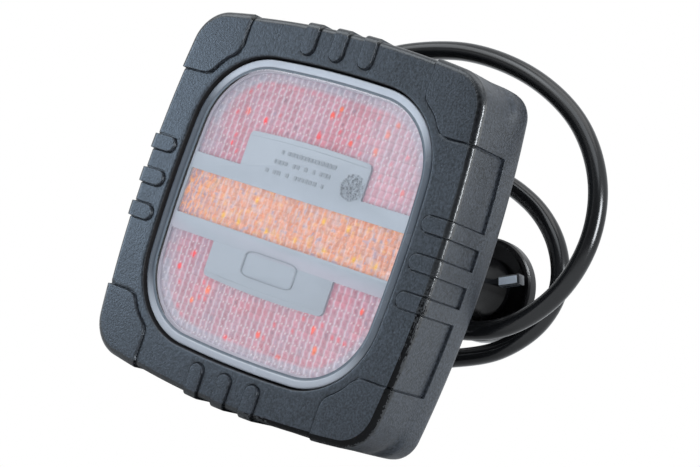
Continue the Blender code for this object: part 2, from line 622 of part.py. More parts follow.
# ---- five-pin bayonet plug, along -X: profiles are (radius, height towards its mouth) ----
PLUG_Z, PLUG_DEPTH = -42.5, 59.5
PLUG_BODY = [(8.2, 50.0), (10.2, 50.0), (10.2, 37.4), (11.3, 36.9), (11.3, 35.6), (10.2, 35.1),
             (10.2, 30.0), (11.4, 29.4), (11.4, 12.4), (7.2, 12.4), (7.2, 5.0), (6.2, 5.0),
             (6.2, 9.4), (4.0, 9.4), (4.0, 16.0), (8.2, 16.0)]
PLUG_SEAL = sleeve(3.8, 5.9, 9.1, 4.6)
PLUG_NUT = [(7.6, 12.0), (9.6, 12.0), (9.6, 1.5), (7.4, -2.5), (3.9, -2.5), (3.9, 3.6),
            (7.6, 3.6)]
PLUG_COLLAR = [(10.6, 52.0), (12.4, 52.0), (13.0, 51.2), (13.0, 31.0), (12.4, 30.2),
               (10.6, 30.2), (10.6, 34.6), (11.8, 35.0), (11.8, 37.5), (10.6, 37.9)]
PLUG_INSERT = sleeve(0, 7.8, 38.0, 22.0)
PIN_BORE = sleeve(0, 1.45, 60.0, 10.0)
PIN = [(0, 48.0), (0.6, 48.0), (1.15, 47.2), (1.15, 20.0), (0, 20.0)]
PIN_CIRCLE_R = 4.4
NOTCH_COUNT, NOTCH_CENTRE_R, NOTCH_HALF = 6, 13.6, 1.3
COLLAR_NOTCH_X = (-49.0, -33.0)


def plug_part(name, profile, mat_name=None, steps=20, back=0.0, up=0.0):
    """A piece turned about the plug's axis, or about a line set back and up from it."""
    location = at(0, PLUG_Z + up, PLUG_DEPTH + back)
    return turned(name, profile, location, LEFTWARD, mat_name, steps)


def build_collar():
    """The collar, with notches spaced evenly round it."""
    collar = plug_part("plug_collar", PLUG_COLLAR, "plug_plastic", 24)
    for i in range(NOTCH_COUNT):
        angle = math.radians(360 / NOTCH_COUNT * i + 30)
        z = PLUG_Z + NOTCH_CENTRE_R * math.sin(angle)
        depth = PLUG_DEPTH + NOTCH_CENTRE_R * math.cos(angle)
        notch = box(f"collar_notch_{i}", COLLAR_NOTCH_X, (z - NOTCH_HALF, z + NOTCH_HALF),
                    (depth - NOTCH_HALF, depth + NOTCH_HALF), rotation=(-angle, 0, 0))
        boolean(collar, notch, 'DIFFERENCE')


def build_insert():
    """The insert and its pins: one on the axis and four round it."""
    insert = plug_part("plug_insert", PLUG_INSERT, "housing_black")
    spots = [(0.0, 0.0)]
    for i in range(4):
        angle = math.radians(45 + 90 * i)
        spots.append((PIN_CIRCLE_R * math.cos(angle), PIN_CIRCLE_R * math.sin(angle)))
    for i, (back, up) in enumerate(spots):
        bore = plug_part(f"pin_bore_{i}", PIN_BORE, None, 10, back, up)
        boolean(insert, bore, 'DIFFERENCE')
        plug_part(f"plug_pin_{i + 1}", PIN, "pin_brass", 10, back, up)


def build_plug():
    plug_part("plug_body", PLUG_BODY, "plug_plastic")
    plug_part("plug_seal", PLUG_SEAL, "seal_rubber", 16)
    plug_part("plug_nut", PLUG_NUT, "plug_plastic")
    build_collar()
    build_insert()


build_frame()
build_lens()
build_mask()
build_optics()
build_board()
build_leds()
build_housing()
build_gland()
build_plate()
build_foot("left", -FOOT_X)
build_foot("right", FOOT_X)
build_cable()
build_plug()

# from the lamp's centre line to the right-hand foot's axis
for obj in list(parts.objects) + list(cutters.objects):
    obj.location.x -= FOOT_X * MM

for obj in parts.objects:
    if obj.type == 'MESH':
        obj.data.shade_smooth()
        obj.data.set_sharp_from_angle(angle=math.radians(SHARP_ANGLE))
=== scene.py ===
"""Looks for the trailer tail light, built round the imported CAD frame.

Row frame: the lamp's face looks along -Y, +X is to its right seen from the front, +Z is up, and
the origin is the centre of the right-hand foot's contact face. The shapes are laid out in
millimetres about the lamp's own centre line and moved by SHIFT. Depths are millimetres behind
the foremost surface of the rubber frame, as in the CAD.
"""
import bpy
import bmesh
import json
import math
import numpy as np
from mathutils import Matrix, Vector

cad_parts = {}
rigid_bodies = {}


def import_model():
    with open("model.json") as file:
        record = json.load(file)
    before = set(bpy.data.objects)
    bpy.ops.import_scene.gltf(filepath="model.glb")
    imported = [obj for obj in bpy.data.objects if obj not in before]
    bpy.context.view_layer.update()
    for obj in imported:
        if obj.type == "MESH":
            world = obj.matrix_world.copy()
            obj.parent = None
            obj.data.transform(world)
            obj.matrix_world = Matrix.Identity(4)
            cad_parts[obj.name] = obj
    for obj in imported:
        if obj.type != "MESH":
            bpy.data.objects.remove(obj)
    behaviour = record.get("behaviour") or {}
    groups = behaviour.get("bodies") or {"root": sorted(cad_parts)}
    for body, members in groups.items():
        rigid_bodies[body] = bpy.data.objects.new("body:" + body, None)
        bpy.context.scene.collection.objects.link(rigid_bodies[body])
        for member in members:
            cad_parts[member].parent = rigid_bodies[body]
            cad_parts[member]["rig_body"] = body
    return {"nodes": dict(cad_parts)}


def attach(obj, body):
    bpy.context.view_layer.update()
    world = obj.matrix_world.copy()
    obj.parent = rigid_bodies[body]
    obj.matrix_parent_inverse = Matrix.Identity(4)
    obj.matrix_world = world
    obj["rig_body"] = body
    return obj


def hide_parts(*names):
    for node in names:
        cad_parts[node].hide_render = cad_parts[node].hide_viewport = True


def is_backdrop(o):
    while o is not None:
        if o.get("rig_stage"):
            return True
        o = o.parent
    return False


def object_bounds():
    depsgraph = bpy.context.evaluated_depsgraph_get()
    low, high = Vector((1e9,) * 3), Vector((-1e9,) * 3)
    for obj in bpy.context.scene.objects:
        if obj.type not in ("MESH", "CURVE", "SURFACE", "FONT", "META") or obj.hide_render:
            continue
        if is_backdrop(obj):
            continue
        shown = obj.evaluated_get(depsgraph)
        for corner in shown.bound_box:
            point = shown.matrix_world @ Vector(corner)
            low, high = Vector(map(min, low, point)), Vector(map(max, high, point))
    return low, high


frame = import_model()
size_at_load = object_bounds()

MM = 0.001
TOTAL_DEPTH = 77.5
FOOT_X = 48.0
SHIFT = Vector((-FOOT_X * MM, 0, 0))

# Bowed squares: half size at mid side, side radius, corner radius
RAISED_LINE = (73.2, 430.0, 15.5)
BAND_LINE = (73.4, 430.0, 11.0)
OPENING_LINE = (57.7, 450.0, 31.6)
LENS_LINE = (57.0, 450.0, 31.0)
MASK_LINE = (53.4, 450.0, 27.4)
WINDOW_LINE = (52.2, 450.0, 26.2)
OPTIC_LINE = (53.2, 450.0, 27.2)
TUB_OUT_LINE = LENS_LINE
TUB_IN_LINE = (54.2, 450.0, 28.2)
FLANGE_LINE = (60.3, 450.0, 34.2)

CABLE_BOX = (-34.0, -12.6, -10.0, 12.0)     # x from, x to, z from, z to
GLAND_X = (CABLE_BOX[0] + CABLE_BOX[1]) / 2
GLAND_DEPTH = 45.0
PLUG_Z, PLUG_DEPTH = -42.5, 59.5            # axis of the plug


def y_of(depth):
    return depth - TOTAL_DEPTH


# ------------------------------------------------------------------ numbers

def srgb(*rgb):
    """Linear colour of an 8-bit sRGB one."""
    return np.array([((c / 255 + 0.055) / 1.055) ** 2.4 if c > 10 else c / 255 / 12.92
                     for c in rgb])


def smooth(start, end, x):
    t = np.clip((x - start) / (end - start), 0, 1)
    return t * t * (3 - 2 * t)


def smooth_max(a, b, width):
    h = np.maximum(width - np.abs(a - b), 0) / width
    return np.maximum(a, b) + h * h * width / 4


def bell(x, width):
    return np.exp(-(x / width) ** 2)


def blob(x, z, wide, high):
    return np.exp(-(x / wide) ** 2 - (z / high) ** 2)


def mixed(a, b, weight):
    """Rows of a moved towards b by one weight per row."""
    return a + (b - a) * weight[:, None]


def hashed(i, j, seed):
    """A repeatable number in 0..1 for a pair of whole numbers."""
    v = np.sin(i * 127.1 + j * 311.7 + seed * 74.7) * 43758.5453
    return v - np.floor(v)


def value_noise(x, y, seed):
    xi, yi = np.floor(x), np.floor(y)
    fx, fy = x - xi, y - yi
    fx, fy = fx * fx * (3 - 2 * fx), fy * fy * (3 - 2 * fy)
    a, b = hashed(xi, yi, seed), hashed(xi + 1, yi, seed)
    c, d = hashed(xi, yi + 1, seed), hashed(xi + 1, yi + 1, seed)
    return a * (1 - fx) * (1 - fy) + b * fx * (1 - fy) + c * (1 - fx) * fy + d * fx * fy


# ------------------------------------------------------------------ outlines of (x, z)

def corner_of(line):
    """Centre coordinate of the corner arc and half the angle that the side arc spans."""
    half, side_r, corner_r = line
    k = (side_r - corner_r) ** 2 - (side_r - half) ** 2
    centre = (-2 * (side_r - half) + math.sqrt(4 * (side_r - half) ** 2 + 8 * k)) / 4
    return centre, math.atan2(centre, centre + side_r - half)


def bowed_square(line, side_steps=40, corner_steps=28):
    half, side_r, corner_r = line
    centre, swing = corner_of(line)
    side = [-swing + 2 * swing * i / side_steps for i in range(side_steps)]
    corner = [swing + (math.pi / 2 - 2 * swing) * i / corner_steps for i in range(corner_steps)]
    local = [(half - side_r + side_r * math.cos(a), side_r * math.sin(a)) for a in side]
    local += [(centre + corner_r * math.cos(a), centre + corner_r * math.sin(a)) for a in corner]
    points = []
    for quarter in range(4):
        cs, sn = math.cos(quarter * math.pi / 2), math.sin(quarter * math.pi / 2)
        points += [(x * cs - z * sn, x * sn + z * cs) for x, z in local]
    return points


def shrunk(line, by):
    return tuple(value - by for value in line)


def bow_distance(x, z, line):
    """Signed distance to a bowed square, negative inside."""
    half, side_r, corner_r = line
    centre, swing = corner_of(line)
    big, small = np.maximum(np.abs(x), np.abs(z)), np.minimum(np.abs(x), np.abs(z))
    side = np.hypot(big - (half - side_r), small) - side_r
    corner = np.hypot(big - centre, small - centre) - corner_r
    return np.where(np.arctan2(small, big + side_r - half) <= swing, side, corner)


def reach(line, t):
    """How far out the outline lies at lateral coordinate t."""
    half, side_r, corner_r = line
    centre, swing = corner_of(line)
    side = half - side_r + np.sqrt(side_r ** 2 - t ** 2)
    corner = centre + np.sqrt(np.maximum(corner_r ** 2 - (np.abs(t) - centre) ** 2, 0))
    return np.where(np.abs(t) <= side_r * math.sin(swing), side, corner)


def circle(cx, cz, r, steps=64):
    angles = [2 * math.pi * i / steps for i in range(steps)]
    return [(cx + r * math.cos(a), cz + r * math.sin(a)) for a in angles]


def rounded_rect(x0, x1, z0, z1, r, steps=12):
    points = []
    corners = ((x1 - r, z1 - r), (x0 + r, z1 - r), (x0 + r, z0 + r), (x1 - r, z0 + r))
    for quarter, (cx, cz) in enumerate(corners):
        for i in range(steps + 1):
            a = math.radians(90 * quarter + 90 * i / steps)
            points.append((cx + r * math.cos(a), cz + r * math.sin(a)))
    return points


# ------------------------------------------------------------------ meshes

def add_object(name, data):
    obj = bpy.data.objects.new(name, data)
    bpy.context.scene.collection.objects.link(obj)
    return obj


def shade(mesh, sharp):
    """Smooth shading, with edges over the angle in degrees left sharp."""
    mesh.shade_smooth()
    mesh.set_sharp_from_angle(angle=math.radians(sharp))


def face_outwards(mesh):
    bm = bmesh.new()
    bm.from_mesh(mesh)
    bmesh.ops.recalc_face_normals(bm, faces=bm.faces)
    bm.to_mesh(mesh)
    bm.free()


def piece(name, points, faces, looks, sharp=None, indices=None):
    """A mesh object from points in millimetres; indices gives each face's material."""
    mesh = bpy.data.meshes.new(name)
    mesh.from_pydata((np.asarray(points, float) * MM).tolist(), [], faces)
    mesh.update()
    for look in looks:
        mesh.materials.append(look)
    if indices is not None:
        mesh.polygons.foreach_set("material_index", np.asarray(indices, np.int32))
    obj = add_object(name, mesh)
    if sum(f.area * f.normal.dot(f.center) for f in mesh.polygons) < 0:
        mesh.flip_normals()
    mesh.shade_smooth()
    if sharp:
        mesh.set_sharp_from_angle(angle=math.radians(sharp))
    return obj


def at_depth(xz, depth):
    """Points (x, y, z) of an outline set at one depth, or at a depth per point."""
    return np.stack([xz[:, 0], np.broadcast_to(y_of(depth), len(xz)), xz[:, 1]], -1)


def grid_faces(rows, cols, wrap_rows=False):
    """Quads between rows of points; the columns close on themselves."""
    row, col = np.meshgrid(np.arange(rows if wrap_rows else rows - 1), np.arange(cols),
                           indexing="ij")
    row2, col2 = (row + 1) % rows, (col + 1) % cols
    quads = np.stack([row * cols + col, row * cols + col2,
                      row2 * cols + col2, row2 * cols + col], -1)
    return quads.reshape(-1, 4).tolist()


def joined(name, objects, sharp):
    """Several objects of one material each as one, with a slot per material."""
    bm = bmesh.new()
    slots = []
    for obj in objects:
        look = obj.data.materials[0]
        if look not in slots:
            slots.append(look)
        start = len(bm.faces)
        bm.from_mesh(obj.data)
        bm.faces.ensure_lookup_table()
        for face in bm.faces[start:]:
            face.material_index = slots.index(look)
    mesh = bpy.data.meshes.new(name)
    bm.to_mesh(mesh)
    bm.free()
    for look in slots:
        mesh.materials.append(look)
    for obj in objects:
        bpy.data.objects.remove(obj, do_unlink=True)
    shade(mesh, sharp)
    return add_object(name, mesh)


def fillet(points, radius, steps=4, closed=False):
    """The profile with its corners rounded, less where the sides are short.

    Corners that are nearly straight or lie on the axis stay.
    """
    out = []
    count = len(points)
    for i, point in enumerate(points):
        if (not closed and i in (0, count - 1)) or point[0] == 0:
            out.append(point)
            continue
        before, corner, after = (Vector(points[k % count]) for k in (i - 1, i, i + 1))
        u, v = before - corner, after - corner
        len_u, len_v = u.length, v.length
        u, v = u / len_u, v / len_v
        turn = math.acos(max(-1, min(1, u.dot(v))))
        if turn > math.radians(172):
            out.append(point)
            continue
        setback = min(radius / math.tan(turn / 2), len_u * 0.46, len_v * 0.46)
        r = setback * math.tan(turn / 2)
        centre = corner + (u + v).normalized() * (r / math.sin(turn / 2))
        start, end = corner + u * setback - centre, corner + v * setback - centre
        for k in range(steps + 1):
            out.append(tuple(centre + start.lerp(end, k / steps).normalized() * r))
    return out


def lathe(name, profile, place, look, steps=72, closed=False, shape=None):
    """A turned mesh.

    profile is (radius, height); place maps (u, v, height) in millimetres to (x, y, z); shape
    changes the radii by angle.
    """
    theta = np.arange(steps) * 2 * math.pi / steps
    points, rings = [], []
    for r, h in np.array(profile, float):
        if r < 1e-6:
            rings.append([len(points)])
            points.append(place(np.array([0.0]), np.array([0.0]), h)[0])
            continue
        radii = np.full(steps, r)
        if shape is not None:
            radii = radii + shape(theta, r, h)
        rings.append(list(range(len(points), len(points) + steps)))
        points += list(place(radii * np.cos(theta), radii * np.sin(theta), h))
    faces = []
    for a, b in list(zip(rings, rings[1:])) + ([(rings[-1], rings[0])] if closed else []):
        if len(a) == 1 and len(b) == 1:
            continue
        for i in range(steps):
            j = (i + 1) % steps
            if len(a) == 1:
                faces.append((a[0], b[i], b[j]))
            elif len(b) == 1:
                faces.append((a[i], b[0], a[j]))
            else:
                faces.append((a[i], b[i], b[j], a[j]))
    obj = piece(name, points, faces, [look])
    face_outwards(obj.data)
    shade(obj.data, 32)
    return obj


def along_y(x, z):
    """Turned about a front-to-back axis; heights are depths."""
    def place(u, v, h):
        return np.stack([x + u, np.full_like(u, y_of(h)), z + v], -1)
    return place


def along_plug(dy=0.0, dz=0.0):
    """Turned about a line beside the plug's axis; heights run towards -X."""
    def place(u, v, h):
        return np.stack([np.full_like(u, -h), y_of(PLUG_DEPTH) + dy + u, PLUG_Z + dz + v], -1)
    return place


def along_gland(u, v, h):
    """Turned about the gland's axis; heights run up from the top of the cable box."""
    return np.stack([GLAND_X + u, y_of(GLAND_DEPTH) + v, np.full_like(u, CABLE_BOX[3] + h)], -1)


def slab(name, outlines, d0, d1, look, bevel=0.0, segments=2):
    """A flat outline with holes from depth d0 to d1, its sharp edges rounded."""
    curve = bpy.data.curves.new(name, 'CURVE')
    curve.dimensions = '2D'
    curve.fill_mode = 'BOTH'
    for points in outlines:
        spline = curve.splines.new('POLY')
        spline.points.add(len(points) - 1)
        for i, (x, z) in enumerate(points):
            spline.points[i].co = (x * MM, z * MM, 0, 1)
        spline.use_cyclic_u = True
    curve.extrude = (d1 - d0) / 2 * MM
    obj = add_object(name, curve)
    obj.location = (0, y_of((d0 + d1) / 2) * MM, 0)
    obj.rotation_euler = (math.pi / 2, 0, 0)
    return settle(obj, name, look, bevel, segments)


def settle(obj, name, look, bevel=0.0, segments=2, dissolve=True):
    """The evaluated object as a plain welded mesh in the row frame, bevelled if asked."""
    bpy.context.view_layer.update()
    graph = bpy.context.evaluated_depsgraph_get()
    mesh = bpy.data.meshes.new_from_object(obj.evaluated_get(graph))
    mesh.transform(obj.matrix_world)
    bpy.data.objects.remove(obj, do_unlink=True)
    bm = bmesh.new()
    bm.from_mesh(mesh)
    bmesh.ops.remove_doubles(bm, verts=bm.verts, dist=1e-6)
    if dissolve:
        bmesh.ops.dissolve_limit(bm, angle_limit=math.radians(0.4), verts=bm.verts,
                                 edges=bm.edges)
    bmesh.ops.recalc_face_normals(bm, faces=bm.faces)
    bm.to_mesh(mesh)
    bm.free()
    made = add_object(name, mesh)
    mesh.materials.clear()
    mesh.materials.append(look)
    if bevel:
        edges = made.modifiers.new("edges", 'BEVEL')
        edges.width = bevel * MM
        edges.segments = segments
        edges.limit_method = 'ANGLE'
        edges.angle_limit = math.radians(40)
        return settle(made, name, look, dissolve=False)
    shade(mesh, 32)
    return made


def cut(obj, others):
    """The object with the others taken out of it."""
    for other in others:
        boolean = obj.modifiers.new("cut", 'BOOLEAN')
        boolean.operation = 'DIFFERENCE'
        boolean.object = other
        boolean.solver = 'EXACT'
    made = settle(obj, obj.name, obj.data.materials[0])
    for other in others:
        bpy.data.objects.remove(other, do_unlink=True)
    return made


def box(name, x0, x1, z0, z1, d0, d1, look, bevel=0.0, segments=3, turn=0.0):
    """A box turned in the XZ plane about its own centre, in degrees."""
    bm = bmesh.new()
    size = Matrix.Diagonal(((x1 - x0) * MM, (d1 - d0) * MM, (z1 - z0) * MM, 1))
    bmesh.ops.create_cube(bm, size=1.0, matrix=size)
    mesh = bpy.data.meshes.new(name)
    bm.to_mesh(mesh)
    bm.free()
    mesh.transform(Matrix.Rotation(-math.radians(turn), 4, 'Y'))
    mesh.transform(Matrix.Translation(((x0 + x1) / 2 * MM, y_of((d0 + d1) / 2) * MM,
                                       (z0 + z1) / 2 * MM)))
    obj = add_object(name, mesh)
    mesh.materials.append(look)
    return settle(obj, name, look, bevel, segments) if bevel else obj


def paint(obj, colours):
    """Linear colours per vertex, as the attribute that the material reads."""
    attribute = obj.data.color_attributes.new("tint", 'FLOAT_COLOR', 'POINT')
    rgba = np.ones((len(obj.data.vertices), 4), np.float32)
    rgba[:, :3] = colours
    attribute.data.foreach_set("color", rgba.ravel())


def stand(obj, slot, *nodes):
    """obj stands for these CAD nodes and moves with their body."""
    body = frame["nodes"][nodes[0]]["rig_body"]
    obj.data.transform(Matrix.Translation(SHIFT))
    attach(obj, body)
    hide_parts(*nodes)
    return obj


# ------------------------------------------------------------------ shader nodes

def feed(tree, node, inputs):
    """Sets each input to a value, or links it to the output given."""
    for socket, value in inputs.items():
        if isinstance(value, bpy.types.NodeSocket):
            tree.links.new(value, node.inputs[socket])
        else:
            node.inputs[socket].default_value = value


def add_node(tree, kind, inputs={}, **settings):
    node = tree.nodes.new("ShaderNode" + kind)
    for name, value in settings.items():
        setattr(node, name, value)
    feed(tree, node, inputs)
    return node


def map_range(tree, value, source, target, **settings):
    inputs = {"Value": value, "From Min": source[0], "From Max": source[1],
              "To Min": target[0], "To Max": target[1]}
    return add_node(tree, "MapRange", inputs, **settings).outputs["Result"]


def principled(name):
    made = bpy.data.materials.new(name)
    made.use_nodes = True
    return made, made.node_tree, made.node_tree.nodes["Principled BSDF"]


def by_camera_ray(tree, output, seen, lit):
    """The camera sees one shader while all other rays meet the other."""
    path = add_node(tree, "LightPath")
    mix = add_node(tree, "MixShader", {"Fac": path.outputs["Is Camera Ray"],
                                       1: lit.outputs[0], 2: seen.outputs[0]})
    add_node(tree, output, {"Surface": mix.outputs[0]})


# ------------------------------------------------------------------ materials

def material(name, rough, base=None, metallic=0.0, vary=0.12, fleck=None, patch=90.0,
             grain=2600.0, bump=0.0, depth=0.05, rough_vary=0.08, specular=0.5,
             specular_tint=(1, 1, 1), stretch=(1, 1, 1)):
    """A Principled material varied by 3-D noise at two scales.

    vary and fleck are the shares by which the broad and the fine noise change the colour, patch
    and grain their scales; depth is the bump's height in millimetres. Without a base, the colour
    is the painted "tint".
    """
    made, tree, surface = principled(name)
    fleck = vary * 0.5 if fleck is None else fleck
    place = add_node(tree, "Mapping", {"Scale": stretch,
                                       "Vector": add_node(tree, "TexCoord").outputs["Object"]})
    broad, fine = (add_node(tree, "TexNoise", {"Scale": scale, "Vector": place.outputs["Vector"]})
                   .outputs["Fac"] for scale in (patch, grain))
    middle = (0.3, 0.7)
    shares = add_node(tree, "Math", {0: map_range(tree, broad, middle, (1 - vary, 1 + vary)),
                                     1: map_range(tree, fine, middle, (-fleck, fleck))},
                      operation='ADD')
    if base is None:
        base = add_node(tree, "Attribute", attribute_name="tint").outputs["Color"]
    tint = add_node(tree, "VectorMath", {0: base, "Scale": shares.outputs[0]}, operation='SCALE')
    feed(tree, surface, {
        "Base Color": tint.outputs["Vector"],
        "Roughness": map_range(tree, broad, middle, (rough - rough_vary, rough + rough_vary)),
        "Metallic": metallic,
        "Specular IOR Level": specular,
        "Specular Tint": (*specular_tint, 1),
        "Coat Roughness": 0.08})
    if bump:
        relief = add_node(tree, "Bump", {"Strength": bump, "Distance": depth * MM,
                                         "Height": fine})
        feed(tree, surface, {"Normal": relief.outputs["Normal"]})
    return made


def clear_material(name):
    made, tree, surface = principled(name)
    noise = add_node(tree, "TexNoise", {"Scale": 40.0,
                                        "Vector": add_node(tree, "TexCoord").outputs["Object"]})
    feed(tree, surface, {
        "Roughness": map_range(tree, noise.outputs["Fac"], (0.35, 0.65), (0.0, 0.02)),
        "Base Color": (0.965, 0.975, 0.985, 1),
        "Transmission Weight": 1.0,
        "IOR": 1.49})
    return made


RUBBER = material(
    "frame_rubber_look", rough=0.36, base=(0.0120, 0.0142, 0.0185), vary=0.10, fleck=1.0,
    patch=70, grain=1300, bump=1.0, depth=0.115, rough_vary=0.03, specular=0.46,
    specular_tint=(0.80, 0.90, 1.0))
# a near-black copy of the edge material, for a painted dark reflection towards the lower right
EDGE_PAINTED_DARK = material(
    "frame_edge_painted_dark_look", rough=0.24, base=(0.0016, 0.0019, 0.0024), vary=0.10, patch=70,
    grain=1050, bump=0.4, depth=0.12, rough_vary=0.03, specular=0.10)
# the rounded edge's coarse grain is its own; its base, darker than the rubber's, is a painted dark
# reflection
EDGE = material(
    "frame_edge_look", rough=0.27, base=(0.0045, 0.0052, 0.0062), vary=0.10, fleck=0.8,
    patch=70, grain=1050, bump=0.65, depth=0.15, rough_vary=0.05, specular=0.55,
    specular_tint=(0.90, 0.95, 1.0))
GAP = material("gap_shadow_look", rough=0.6, base=(0.006, 0.006, 0.007), vary=0.2, specular=0.2)
CLEAR = clear_material("lens_clear_look")
RIM = material("lens_rim_look", rough=0.22, vary=0.03)
MASK = material("mask_look", rough=0.38, vary=0.025, patch=45, grain=900)
OPTIC = material("optic_look", rough=0.24, vary=0.03, patch=300, grain=3000, bump=0.25,
                 depth=0.03)
HOUSING = material("housing_look", rough=0.42, base=(0.022, 0.023, 0.025), grain=2000, bump=0.4,
                   depth=0.04)
BOARD = material("board_look", rough=0.42, base=(0.03, 0.16, 0.07), vary=0.25, patch=260,
                 grain=1800)
LED_RED = material("led_red_look", rough=0.25, base=(0.80, 0.06, 0.05), vary=0.15, patch=500)
LED_AMBER = material("led_amber_look", rough=0.25, base=(0.90, 0.48, 0.06), vary=0.15, patch=500)
SEAL = material("seal_look", rough=0.75, base=(0.018, 0.018, 0.019), vary=0.2, grain=1800,
                bump=0.3)
ZINC = material("zinc_look", rough=0.34, base=(0.60, 0.61, 0.63), metallic=1.0, vary=0.045,
                patch=60, grain=1500, bump=0.15, depth=0.02, stretch=(1, 1, 6))
HUB = material("hub_look", rough=0.16, base=(0.0015, 0.0015, 0.0018), vary=0.15, patch=120,
               grain=1800, bump=0.08, depth=0.012, specular=0.14)
BAR = material("grip_bar_look", rough=0.22, base=(0.034, 0.038, 0.044), patch=120, grain=1500,
               bump=0.15, depth=0.02)
# the grip bar's panels are painted pale: a painted reflection of a softbox
BAR_PANEL_SHEEN = material("grip_panel_painted_reflection_look", rough=0.28, base=(0.62, 0.70, 0.80), vary=0.08, patch=120,
                    grain=1500, bump=0.15, depth=0.02)
BOOT = material("boot_look", rough=0.26, base=(0.0015, 0.0015, 0.0018), vary=0.2, patch=120,
                grain=2200, bump=0.25, depth=0.02, specular=0.22)
MAGNET = material("magnet_look", rough=0.48, base=(0.22, 0.22, 0.23), metallic=0.7, vary=0.15,
                  grain=1400, bump=0.2)
CABLE = material("cable_look", rough=0.20, base=(0.0032, 0.0034, 0.0038), vary=0.20, fleck=0.02,
                 patch=40, grain=300, rough_vary=0.02, specular=0.36)
GROOVE = material("lens_groove_look", rough=0.25, base=(0.115, 0.145, 0.18), vary=0.06,
                  grain=1500)
PLUG = material("plug_look", rough=0.36, base=(0.020, 0.020, 0.022), vary=0.15, grain=1600,
                bump=0.3, depth=0.03)
BRASS = material("pin_look", rough=0.22, base=(0.72, 0.55, 0.25), metallic=1.0, vary=0.08,
                 patch=300, grain=2000)

# ------------------------------------------------------------------ rubber frame
# One closed sheet: every row runs round the frame, every column round its section.

# the last slot is the edge's darker copy, a painted dark reflection
PLAIN, IN_GAP, ON_EDGE, DARK_REFLECTION = range(4)     # slots of a row's or a face's material
FRAME_DEPTH, BAND_FRONT = 31.0, 21.2
TABS, TAB_HALF, TAB_END = (-13.8, 0.0, 13.8), 2.95, 63.35
PAD_EDGE = 44.4
PAD_DIAGONAL, PAD_BULGE, PAD_SPAN, PAD_BLEND = 99.2, 2.3, 25.6, 3.4
SIDE_END = 44.5                 # lateral coordinate where the side columns end
STEP = 0.13                     # half the width of a step's slope
BASE_INSET, BASE_DEPTH = 0.9, 1.0           # the base lies this far in and behind the tabs
ROUND_UP, ROUND_BASE, ROUND_IN, ROUND_REAR = 2.5, 2.0, 0.8, 1.3
HOLLOW_AT = 0.27                # distance of the fine hollow outside a step

# column spacing by distance from a step: nearer than, spacing
COLUMN_STEPS = ((0.30, 0.075), (0.55, 0.13), (1.3, 0.35), (math.inf, 1.0))
# inner wall, rear to front: distance out from the opening, depth
INNER_WALL = ((0, 31.0), (0, 30.2), (0, 25), (0, 19.6), (0, 19.0), (2.9, 19.0), (2.9, 14.0),
              (0, 14.0), (0, 13.4), (0, 9), (0, 5.5), (0, 3.6), (0, 2.6))
# distances of the front face's close rows from where a column meets a step
NEAR_STEP = (-0.62, -0.46, -0.38, -0.30, -0.22, -0.15, -0.09, -0.03, 0.03, 0.09, 0.15, 0.24,
             0.40, 0.62)
SIDE_DEPTHS = (3.3, 3.9, 5, 7, 9.5, 12, 14, 16, 17.2, 18.2, 19.2, 20, 20.5, 20.72, 20.84, 20.94,
               21.02, 21.10, 21.17, 21.24, 21.32, 21.5, 21.9, 22.4, 23.2, 24.5, 26, 27.5, 28.8)


def raised_distance(x, z):
    """Signed distance to the raised tabs and corner pads, negative on them."""
    a, b = np.abs(x), np.abs(z)
    low, high = np.minimum(a, b), np.maximum(a, b)
    lateral = np.where(a >= b, z, x)
    distance = np.full(np.shape(x), 1e3)
    for tab in TABS:
        to_tab = np.hypot(np.maximum(TAB_END - high, 0), lateral - tab) - TAB_HALF
        distance = np.minimum(distance, to_tab)
    t = np.clip((low - high) / PAD_SPAN + 0.5, 0, 1)
    diagonal = (PAD_DIAGONAL + PAD_BULGE * np.sin(math.pi * t) - (a + b)) / math.sqrt(2)
    return np.minimum(distance, smooth_max(PAD_EDGE - low, diagonal, PAD_BLEND))


def side_stations():
    """Lateral coordinates of one side's columns, close together at the steps."""
    steps = [-PAD_EDGE, PAD_EDGE] + [tab + e * TAB_HALF for tab in TABS for e in (-1, 1)]
    stations = [-SIDE_END]
    while stations[-1] < SIDE_END - 1e-6:
        near = min(abs(stations[-1] + 0.03 - at) for at in steps)
        spacing = next(spacing for limit, spacing in COLUMN_STEPS if near < limit)
        stations.append(min(stations[-1] + spacing, SIDE_END))
    return np.array(stations[:-1])


def corner_columns():
    """Outer points, outward normals and opening points round one corner."""
    half, side_r, corner_r = RAISED_LINE
    centre, swing = corner_of(RAISED_LINE)
    start = math.asin(SIDE_END / side_r)
    side_run, arc_run = side_r * (swing - start), corner_r * (math.pi / 2 - 2 * swing)
    total = 2 * side_run + arc_run
    runs = np.concatenate([np.arange(0, 0.5, 0.1), np.arange(0.5, 4.0, 0.25),
                           np.arange(4.0, total - 4.0, 0.5),
                           np.arange(total - 4.0, total - 0.5, 0.25),
                           np.arange(total - 0.5, total, 0.1)])
    outer, normal = [], []
    for run in runs:
        past_arc = run >= side_run + arc_run
        if run < side_run or past_arc:
            angle = start + (total - run if past_arc else run) / side_r
            middle, radius = np.array((half - side_r, 0.0)), side_r
        else:
            angle = swing + (run - side_run) / corner_r
            middle, radius = np.array((centre, centre)), corner_r
        way = np.array((math.cos(angle), math.sin(angle)))
        point = middle + radius * way
        # the second side arc mirrors the first over the diagonal
        outer.append(point[::-1] if past_arc else point)
        normal.append(way[::-1] if past_arc else way)
    centre, _ = corner_of(OPENING_LINE)
    radius = OPENING_LINE[2]
    start = math.asin((SIDE_END - centre) / radius)
    arc = start + (math.pi / 2 - 2 * start) * runs / total
    inner = np.stack([centre + radius * np.cos(arc), centre + radius * np.sin(arc)], -1)
    return outer, normal, inner


